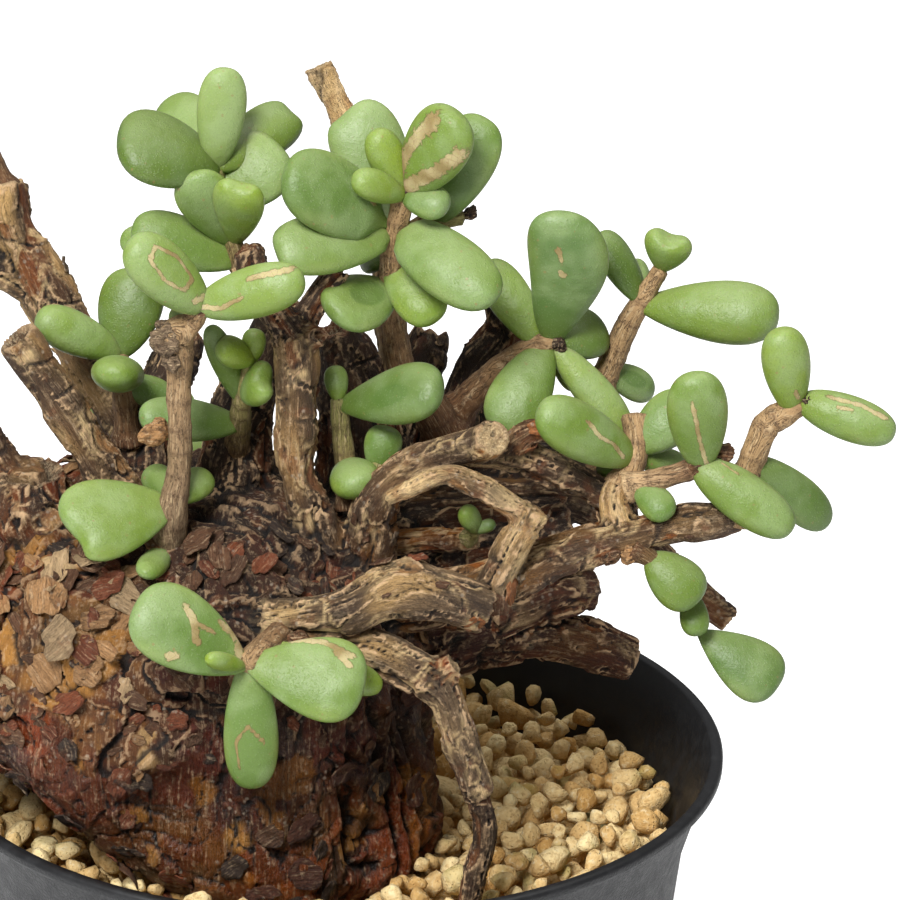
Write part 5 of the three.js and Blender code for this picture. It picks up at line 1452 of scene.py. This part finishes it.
# What sets a leaf apart, by its stem and its number there: widest is the share of the length
# where it is broadest, bend curves it towards its face, flat presses its face in, neck narrows
# its foot, lean shifts it sideways, and notch_at puts the notch of its tip off the middle. Hue
# takes it from blue to yellow green, and shade is painted light and shade, from pale to dark
LEAF_FORMS = {
    "stem_crown": {0: {"shade": 0.9}, 1: {"shade": -0.5}, 3: {"shade": 0.5, "hue": 0.7},
        4: {"shade": -0.3}, 5: {"widest": 0.66}, 6: {"widest": 0.68, "hue": 0.9}},
    "stem_tan": {0: {"widest": 0.56, "hue": 0.7, "shade": -0.3},
        1: {"widest": 0.54, "hue": 0.75, "shade": -0.2},
        3: {"widest": 0.66, "hue": 0.6, "notch_at": -0.35}, 5: {"shade": 0.6}},
    "stem_left": {0: {"hue": 0.6, "shade": -0.2}, 1: {"shade": 0.7},
        2: {"hue": 0.6, "widest": 0.5}},
    "stem_centre": {0: {"neck": 0.22, "hue": 0.25, "shade": 0.25},
        1: {"widest": 0.62, "hue": 0.3, "shade": -0.5, "notch_at": -0.3}, 2: {"hue": 0.95},
        3: {"hue": 0.9}, 4: {"widest": 0.64, "hue": 0.6},
        6: {"neck": 0.12, "hue": 0.5, "shade": -0.3},
        7: {"widest": 0.52, "neck": 0.13, "hue": 0.4}, 8: {"hue": 0.7},
        9: {"flat": 0.3, "hue": 0.5}, 10: {"shade": 0.9}},
    "stem_orange": {0: {"widest": 0.66, "hue": 0.1, "lean": 0.16}, 1: {"shade": 0.8},
        3: {"widest": 0.64, "hue": 0.4}, 5: {"hue": 0.95, "shade": -0.4}},
    "stem_upright": {0: {"widest": 0.68, "hue": 0.7},
        1: {"widest": 0.66, "hue": 0.65, "shade": 0.2}, 2: {"shade": 0.75}},
    "stem_fork": {0: {"hue": 0.5}},
    "stem_right": {0: {"widest": 0.6, "hue": 0.5}, 1: {"widest": 0.5, "hue": 0.5}},
    "stem_far_right": {0: {"hue": 0.95}, 1: {"widest": 0.5, "hue": 0.6}, 2: {"shade": 0.4}},
    "stem_hanging": {0: {"hue": 0.6, "shade": 0.45}, 1: {"shade": 0.4},
        2: {"widest": 0.7, "hue": 0.2, "shade": 0.35}},
    "stem_front": {0: {"widest": 0.64, "hue": 0.25}, 1: {"widest": 0.7, "hue": 0.4},
        2: {"widest": 0.6, "hue": 0.3}, 3: {"hue": 1.0}, 4: {"hue": 0.9}},
    "stem_behind_ringed": {0: {"widest": 0.68, "bend": 0.08, "flat": 0.2, "shade": 0.55}},
    "stem_young": {0: {"hue": 1.0}, 1: {"hue": 1.0}, 3: {"hue": 0.7, "shade": 0.5}},
}
# Corky scars on the upper face, by stem and number: a half width, and a line of places, each as
# a share of the length and of the leaf's half width
SCARS = {
    "stem_centre": {
        0: [(0.03, [(0.42, 0.55), (0.34, 0.4), (0.4, 0.3), (0.32, 0.12)])],
        4: [(0.1, [(0.84, -0.35), (0.62, -0.5), (0.4, -0.55), (0.15, -0.35)]),
            (0.09, [(0.74, 0.75), (0.5, 0.55), (0.3, 0.2), (0.08, -0.1)])],
    },
    "stem_right": {
        0: [(0.035, [(0.78, -0.2), (0.55, -0.12), (0.3, 0.0), (0.1, 0.15)])],
        1: [(0.025, [(0.2, -0.5), (0.35, -0.45)])],
    },
    "stem_fork": {
        0: [(0.035, [(0.64, 0.15), (0.5, -0.15), (0.36, -0.1), (0.22, -0.3)])],
    },
    "stem_tan": {
        0: [
            (0.028, [(0.35, 0.35), (0.6, 0.55), (0.82, 0.3), (0.8, -0.2), (0.55, -0.4),
                    (0.35, -0.2), (0.35, 0.35)]),
            (0.04, [(0.2, -0.2), (0.14, 0.2)])],
        1: [(0.06, [(0.6, -0.4), (0.9, -0.35)]),
            (0.04, [(0.08, 0.1), (0.25, 0.4), (0.45, 0.25)])],
    },
    "stem_orange": {
        0: [(0.03, [(0.78, -0.2), (0.72, -0.15)]), (0.03, [(0.62, -0.2), (0.6, -0.1)])],
    },
    "stem_front": {
        0: [(0.04, [(0.66, 0.5), (0.55, 0.25), (0.46, -0.15)]),
            (0.03, [(0.55, 0.25), (0.38, 0.3)]), (0.05, [(0.34, 0.6), (0.16, 0.45), (0.1, 0.1)]),
            (0.04, [(0.6, -0.8), (0.55, -0.7)])],
        1: [(0.035, [(0.08, -0.4), (0.3, -0.7), (0.6, -0.8), (0.86, -0.55)]),
            (0.03, [(0.72, -0.6), (0.86, -0.3)])],
        2: [(0.02, [(0.62, -0.5), (0.5, 0.1), (0.62, 0.55), (0.82, 0.4)])],
    },
    "stem_far_right": {
        0: [(0.05, [(0.32, 0.15), (0.26, 0.2)]), (0.04, [(0.14, 0.3), (0.12, 0.3)])],
        1: [(0.05, [(0.3, -0.35), (0.6, -0.45), (0.85, -0.3)]),
            (0.05, [(0.5, -0.1), (0.42, 0.0)])],
    },
}
# Darker windows, where the skin lies flat over clear flesh: place along, place across, radius
WINDOWS = {("stem_centre", 9): (0.5, 0.0, 0.26), ("stem_behind_ringed", 0): (0.6, 0.15, 0.2),
           ("stem_centre_right", 0): (0.4, 0.3, 0.25), ("stem_upright", 4): (0.5, 0.0, 0.25)}


def step_up(value, low, high):
    """The soft step for a single number"""
    share = min(max((value - low) / (high - low), 0), 1)
    return share * share * (3 - 2 * share)


def leaf(bm, layers, foot, row, tone, form, scars, window):
    """A thick leaf from its foot on the stem to its tip"""
    _, x, y, z, width, thickness, turn, notch = row
    lengthwise = Vector((x, y, z)) - foot
    length = lengthwise.length
    lengthwise.normalize()
    face = (LEAF_FACING - lengthwise * LEAF_FACING.dot(lengthwise)).normalized()
    face.rotate(Matrix.Rotation(math.radians(turn), 3, lengthwise))
    sideways = lengthwise.cross(face)
    bend, flat = form.get("bend", 0.0), form.get("flat", 0.0)
    neck, notch_at = form.get("neck", 0.0), form.get("notch_at", 0.0)
    lean = form.get("lean", 0.0)
    power = math.log(form.get("widest", WIDEST)) / math.log(0.5)
    before = len(bm.verts)
    made = bmesh.ops.create_cube(bm, size=2)["verts"]
    sides = list({edge for vert in made for edge in vert.link_edges})
    cuts = SCARRED_CUTS if scars or window else PLAIN_CUTS
    bmesh.ops.subdivide_edges(bm, edges=sides, cuts=cuts, use_grid_fill=True)
    bm.verts.ensure_lookup_table()
    for vert in bm.verts[before:]:
        a, b, c = vert.co
        # From the cube to the ball: u lies across the leaf, v along it and w through it
        u = a * math.sqrt(1 - b * b / 2 - c * c / 2 + b * b * c * c / 3)
        v = b * math.sqrt(1 - a * a / 2 - c * c / 2 + a * a * c * c / 3)
        w = c * math.sqrt(1 - a * a / 2 - b * b / 2 + a * a * b * b / 3)
        # From the ball to the paddle
        share = max((1 + v) / 2, 0.0) ** power
        swell = (FOOT_WIDTH + TIP_GAIN * share) / max(1 - v * v, 0.03) ** SQUARENESS
        if neck:
            swell *= NECK_WIDTH + (1 - NECK_WIDTH) * step_up(share, neck * 0.5, neck * 1.5)
        dip = notch * width * math.exp(-(((u - notch_at) / NOTCH_WIDTH) ** 2))
        dip *= step_up(share, 0.6, 1.0)
        out = w * thickness / 2 * swell
        if flat and w > 0:
            out *= 1 - flat * math.exp(-((u / 0.55) ** 2 + ((share - 0.6) / 0.28) ** 2))
        rise = bend * length * math.sin(math.pi * share / 2) ** 2
        sway = math.sin(math.pi * min(share * 0.85, 1)) ** 2
        across = u * width / 2 * swell + lean * width * sway
        place = foot + lengthwise * (share * (length + LEAF_SINK) - LEAF_SINK - dip)
        vert.co = place + sideways * across + face * (out + rise)
        vert[layers["along"]] = share
        vert[layers["rim"]] = step_up(abs(u), 0.55, 1.0) * step_up(share, 0.3, 0.8)
        vert[layers["tone"]] = tone
        vert[layers["shade"]] = form.get("shade", 0.0)
        vert[layers["scar"]] = scar_strength(scars, share, u, w) if scars else 0.0
        if window and w > 0:
            away = math.hypot(share - window[0], (u - window[1]) * 0.5)
            vert[layers["window"]] = 1 - step_up(away, window[2] * 0.8, window[2])


def scar_strength(scars, share, across, out):
    """How near a place on a leaf is to a corky line: 1 on it, 0 away from it"""
    if out < 0:
        return 0.0
    strength = 0.0
    for half_width, line in scars:
        for (a1, b1), (a2, b2) in zip(line, line[1:] or line):
            dx, dy = a2 - a1, (b2 - b1) * 0.45
            px, py = share - a1, (across - b1) * 0.45
            part = max(0, min(1, (px * dx + py * dy) / max(dx * dx + dy * dy, 1e-6)))
            gap = math.hypot(px - part * dx, py - part * dy)
            strength = max(strength, 1 - step_up(gap, 0.0, 2 * half_width))
    return strength


def leaves_of(name, rows, seed):
    """All leaves of a stem as one mesh"""
    rng = random.Random(seed)
    bm = bmesh.new()
    layers = {title: bm.verts.layers.float.new(title)
              for title in ("along", "rim", "tone", "shade", "scar", "window")}
    for index, row in enumerate(rows["leaves"]):
        foot = Vector(on_stem(rows["stem"], row[0]))
        form = LEAF_FORMS.get(name, {}).get(index, {})
        leaf(bm, layers, foot, row, form.get("hue", rng.uniform(*USUAL_HUES)), form,
             SCARS.get(name, {}).get(index, []), WINDOWS.get((name, index)))
    bmesh.ops.recalc_face_normals(bm, faces=bm.faces)
    return mesh_of(bm, name + "_leaves")


def on_stem(rows, share):
    """The point of a stem's curve at a share of its row of points"""
    points = np.array(rows, dtype=float)[:, :3]
    place = share * (len(points) - 1)
    first = min(int(place), len(points) - 2)
    return between(points, first, place - first)


leaf_total = 0
for seed, (name, rows) in enumerate(LEAFY_STEMS.items()):
    part = piece(name + "_leaves", leaves_of(name, rows, seed), leaf_skin, "leaf", name)
    leaf_total += triangles(part.data)
print("leaves", leaf_total, "triangles")

# %% [markdown]
# ## Pot
# A thrown-away nursery pot: thin black plastic with a fine leather grain outside, a smooth
# inside and a narrow lip. Its outline is spun round the middle, and the drain holes are cut.

# %% Pot material
material, tree, shader = new_material("black_plastic")
spot = in_millimetres(tree)
outside = attribute(tree, "outside")
grain_cells = node(tree, "TexVoronoi", {"Vector": spot, "Scale": 1.9},
                   feature="DISTANCE_TO_EDGE").outputs["Distance"]
leather = spread(tree, grain_cells, 0.02, 0.22)
scuffs = noise(tree, spot, 0.5, 5.0, 0.7)
fine = noise(tree, spot, 6.0, 3.0)
base = mix(tree, spread(tree, scuffs, 0.45, 0.75, 0.0, 0.6), colour(20, 20, 22), colour(38, 39, 41))
base = coat(tree, base, colour(40, 41, 43), maths(tree, "MULTIPLY", outside, 0.5))
rough = spread(tree, scuffs, 0.3, 0.8, 0.42, 0.62)
relief = maths(tree, "MULTIPLY", leather, outside)
finish(tree, shader, base, rough, bump(tree, fine, 0.02, bump(tree, relief, 0.06)))
black_plastic = material

# %% Pot
def spun(bm, outline, steps, outside=0):
    """A closed body: radii and heights turned about the upright axis. The first points of the
    outline may be marked as the outside"""
    mark = bm.verts.layers.float.new("outside") if outside else None
    chain = [bm.verts.new((radius, 0, height)) for radius, height in outline]
    for vert in chain[:outside]:
        vert[mark] = 1.0
    edges = [bm.edges.new(pair) for pair in zip(chain, chain[1:])]
    bmesh.ops.spin(bm, geom=chain + edges, axis=(0, 0, 1), cent=(0, 0, 0), steps=steps,
                   angle=2 * math.pi, use_merge=True)
    bmesh.ops.remove_doubles(bm, verts=bm.verts, dist=1e-4)
    bmesh.ops.recalc_face_normals(bm, faces=bm.faces)


# The wall flares out at one radius, a drop below the rim, and carries the lip
POT_HEIGHT, RIM_RADIUS, LIP_WIDTH, LIP_HEIGHT = 75, 45, 1.4, 1.0
FLARE_RADIUS, FLARE_DROP, BASE_RADIUS, WALL, FLOOR = 40.8, 10.5, 33, 1.1, 1.8
DRAIN_HOLES, DRAIN_RADIUS, DRAIN_CIRCLE, DRAIN_SIDES = 6, 3, 20, 32
POT_SPIN_STEPS = 180
GRAVEL_DROP = 8.5

# From the middle of the underside, up the outside, over the lip and down to the floor
OUTSIDE_POINTS = 9
outline = [
    (0, 0), (BASE_RADIUS - 1, 0), (BASE_RADIUS - 0.3, 0.3), (BASE_RADIUS, 1),
    (FLARE_RADIUS, POT_HEIGHT - FLARE_DROP), (FLARE_RADIUS + 1.2, POT_HEIGHT - FLARE_DROP + 4),
    (RIM_RADIUS - 1.6, POT_HEIGHT - 2.4), (RIM_RADIUS - 0.6, POT_HEIGHT - 1.6),
    (RIM_RADIUS, POT_HEIGHT - LIP_HEIGHT), (RIM_RADIUS, POT_HEIGHT - 0.3),
    (RIM_RADIUS - 0.3, POT_HEIGHT), (RIM_RADIUS - LIP_WIDTH + 0.2, POT_HEIGHT),
    (RIM_RADIUS - LIP_WIDTH, POT_HEIGHT - 0.2), (RIM_RADIUS - 2.8, POT_HEIGHT - 4.0),
    (FLARE_RADIUS - WALL + 0.4, POT_HEIGHT - FLARE_DROP + 1),
    (BASE_RADIUS - WALL, FLOOR + 1), (BASE_RADIUS - WALL - 1, FLOOR), (0, FLOOR),
]
bm = bmesh.new()
spun(bm, outline, POT_SPIN_STEPS, OUTSIDE_POINTS)
pot_mesh = mesh_of(bm, "pot_shell")
bm = bmesh.new()
for index in range(DRAIN_HOLES):
    angle = index / DRAIN_HOLES * 2 * math.pi
    place = Matrix.Translation((DRAIN_CIRCLE * math.cos(angle), DRAIN_CIRCLE * math.sin(angle), 0))
    bmesh.ops.create_cone(bm, cap_ends=True, segments=DRAIN_SIDES, radius1=DRAIN_RADIUS,
                          radius2=DRAIN_RADIUS, depth=3 * FLOOR, matrix=place)
drill = bpy.data.objects.new("drill", mesh_of(bm, "drill"))
blank = bpy.data.objects.new("pot_blank", pot_mesh)
for made in (drill, blank):
    scene.collection.objects.link(made)
holes = blank.modifiers.new("drain_holes", "BOOLEAN")
holes.object = drill
drilled = with_modifiers(blank)
bpy.data.objects.remove(drill)
drilled.name = "pot_shell"
drilled.materials.clear()
pot_shell = piece("pot_shell", drilled, black_plastic, "pot_plastic", "pot")
print("pot", triangles(pot_shell.data), "triangles")

# %% [markdown]
# ## Pumice
# Each grain is a small ball pushed out of round. The grains are dropped one by one: a grain
# tries a few places over the pot and settles where it comes to rest lowest, on its neighbours
# or on the fill, so the top layer packs as real gravel does, close against bark and wall.

# %% Pumice material
material, tree, shader = new_material("pumice")
spot = in_millimetres(tree)
tone = attribute(tree, "tone")
pits = noise(tree, spot, 1.5, 5.0, 0.65)
pores = node(tree, "TexVoronoi", {"Vector": spot, "Scale": 2.6}).outputs["Distance"]
algae = noise(tree, spot, 0.12, 3.0, 0.6)
base = mix(tree, tone, colour(196, 152, 88), colour(246, 222, 166))
# Darker where the pitted relief is low and paler where it is high: partly the stone's own colour,
# partly painted shade and painted light
base = coat(tree, base, colour(164, 120, 64), pits, 0.5, 0.34, 0.0, 0.5)
base = coat(tree, base, colour(240, 228, 192), pits, 0.52, 0.7, 0.0, 0.5)
base = coat(tree, base, colour(146, 138, 70), algae, 0.55, 0.7, 0.0, 0.6)
base = mix(tree, attribute(tree, "olive"), base, colour(128, 122, 84))
pocks = maths(tree, "MULTIPLY", spread(tree, pores, 0.0, 0.35), 0.4)
relief = maths(tree, "ADD", pits, pocks)
finish(tree, shader, base, spread(tree, pits, 0.3, 0.7, 0.8, 0.95), bump(tree, relief, 0.35))
shader.inputs["Specular IOR Level"].default_value = 0.2
pumice = material

# %% Drop the grains
GRAVEL_TOP = POT_HEIGHT - GRAVEL_DROP
TOP_LAYER = 5.0
FILL_TOP = GRAVEL_TOP - TOP_LAYER
FILL_FOOT, FILL_GAP, FILL_SPIN_STEPS = FLOOR + 1.3, 0.3, 72
HIGHEST_GRAIN = GRAVEL_TOP + 1.2
GRAINS = 1400
TRIES = 24
USUAL_GRAIN, LARGE_GRAIN, USUAL_SHARE = (1.1, 2.0), (2.0, 2.5), 0.88
# Grains bed into each other a little, so they touch at this share of their radii
BEDDED = 0.9
OLIVE_RADIUS = 2.7
DROP_SEED, SHAPE_SEED = 21, 31
# x, y and radius of the largest grains, the first to drop
BIG_GRAINS = [(29.5, 3, 2.9), (-4.0, -36.0, 2.4), (21, 25, 2.6)]


def inner_radius(height):
    """Radius of the pot's inside at a height"""
    low, high = FLOOR + 1, POT_HEIGHT - FLARE_DROP + 1
    share = (height - low) / (high - low)
    return BASE_RADIUS - WALL + share * (FLARE_RADIUS + 0.4 - BASE_RADIUS)


def clear_of_caudex(x, y, z, radius):
    """Whether a grain at a place stays out of the caudex"""
    rings = np.array(CAUDEX_RINGS)
    cx, cy, half_x, half_y = (np.interp(z, rings[:, 2], rings[:, column])
                              for column in (0, 1, 3, 4))
    return ((x - cx) / (half_x + radius * 0.8)) ** 2 + ((y - cy) / (half_y + radius * 0.8)) ** 2 > 1


rng = random.Random(DROP_SEED)
grains = np.zeros((0, 4))
for number in range(GRAINS):
    radius = rng.uniform(*USUAL_GRAIN) if rng.random() < USUAL_SHARE else rng.uniform(*LARGE_GRAIN)
    tries = []
    for _ in range(TRIES):
        reach = (inner_radius(GRAVEL_TOP) - radius) * math.sqrt(rng.random())
        angle = rng.uniform(0, 2 * math.pi)
        x, y = reach * math.cos(angle), reach * math.sin(angle)
        if number < len(BIG_GRAINS):
            x, y, radius = BIG_GRAINS[number]
        gap = np.hypot(grains[:, 0] - x, grains[:, 1] - y)
        touch = (grains[:, 3] + radius) * BEDDED
        near = gap < touch
        rest = FILL_TOP + radius * 0.4
        if near.any():
            over = grains[near, 2] + np.sqrt(touch[near] ** 2 - gap[near] ** 2)
            rest = max(rest, float(over.max()))
        if clear_of_caudex(x, y, rest, radius) and rest < HIGHEST_GRAIN:
            tries.append((rest, x, y))
    if tries:
        rest, x, y = min(tries)
        grains = np.vstack([grains, (x, y, rest, radius)])
print("grains", len(grains), "top at", round(grains[:, 2].max(), 1), "mm")

# %% Shape the grains
KNOCKS, KNOCK_LIMITS, KNOCK_SHARE = 8, (0.45, 0.8), 0.9
GRAININESS = 0.05


def lump(bm, layers, place, radius, rng):
    """A grain: a ball that is knocked flat from a few sides, stretched and turned"""
    turn = Matrix.Rotation(rng.uniform(0, math.pi), 4,
                           Vector((rng.gauss(0, 1), rng.gauss(0, 1), 1)))
    stretch = Matrix.Diagonal((rng.uniform(0.85, 1.2), rng.uniform(0.75, 1.1),
                               rng.uniform(0.7, 1.0), 1))
    made = bmesh.ops.create_icosphere(bm, subdivisions=2, radius=1)["verts"]
    tone, olive = rng.random(), float(radius > OLIVE_RADIUS)
    knocks = [(Vector((rng.gauss(0, 1), rng.gauss(0, 1), rng.gauss(0, 1))).normalized(),
               rng.uniform(*KNOCK_LIMITS)) for _ in range(KNOCKS)]
    for vert in made:
        point = vert.co.copy()
        for direction, limit in knocks:
            over = point.dot(direction) - limit
            if over > 0:
                point -= direction * over * KNOCK_SHARE
        point *= 1 + rng.uniform(-GRAININESS, GRAININESS)
        vert.co = place + turn @ (stretch @ point) * radius
        vert[layers["tone"]] = tone
        vert[layers["olive"]] = olive


for half, name in enumerate(("gravel_front", "gravel_back")):
    bm = bmesh.new()
    layers = {title: bm.verts.layers.float.new(title) for title in ("tone", "olive")}
    rng = random.Random(SHAPE_SEED + half)
    for x, y, z, radius in grains:
        if (y >= 0) == bool(half):
            lump(bm, layers, Vector((x, y, z)), radius, rng)
    part = piece(name, mesh_of(bm, name), pumice, "pumice", "gravel")
    print(name, triangles(part.data), "triangles")

bm = bmesh.new()
spun(bm, [(0, FILL_FOOT), (inner_radius(FILL_FOOT) - FILL_GAP, FILL_FOOT),
          (inner_radius(FILL_TOP) - FILL_GAP, FILL_TOP), (0, FILL_TOP)], FILL_SPIN_STEPS)
piece("gravel_fill", mesh_of(bm, "gravel_fill", smooth=False), pumice, "pumice", "gravel")

# %% [markdown]
# ## Table
# A plain white table carries the pot. It glows a little for the camera alone, so that it
# meets the white room without an edge.

# %% Table
TABLE_SIZE = 6000
TABLE_GLOW = 0.5
material, tree, shader = new_material("white_table")
shader.inputs["Base Color"].default_value = (0.9, 0.9, 0.9, 1)
shader.inputs["Roughness"].default_value = 0.9
seen = node(tree, "LightPath").outputs["Is Camera Ray"]
tree.links.new(seen, shader.inputs["Emission Color"])
shader.inputs["Emission Strength"].default_value = TABLE_GLOW
bm = bmesh.new()
bmesh.ops.create_grid(bm, x_segments=8, y_segments=8, size=TABLE_SIZE)
table_mesh = mesh_of(bm, "table", smooth=False)
table_mesh.materials.append(material)
table = bpy.data.objects.new("table", table_mesh)
scene.collection.objects.link(table)
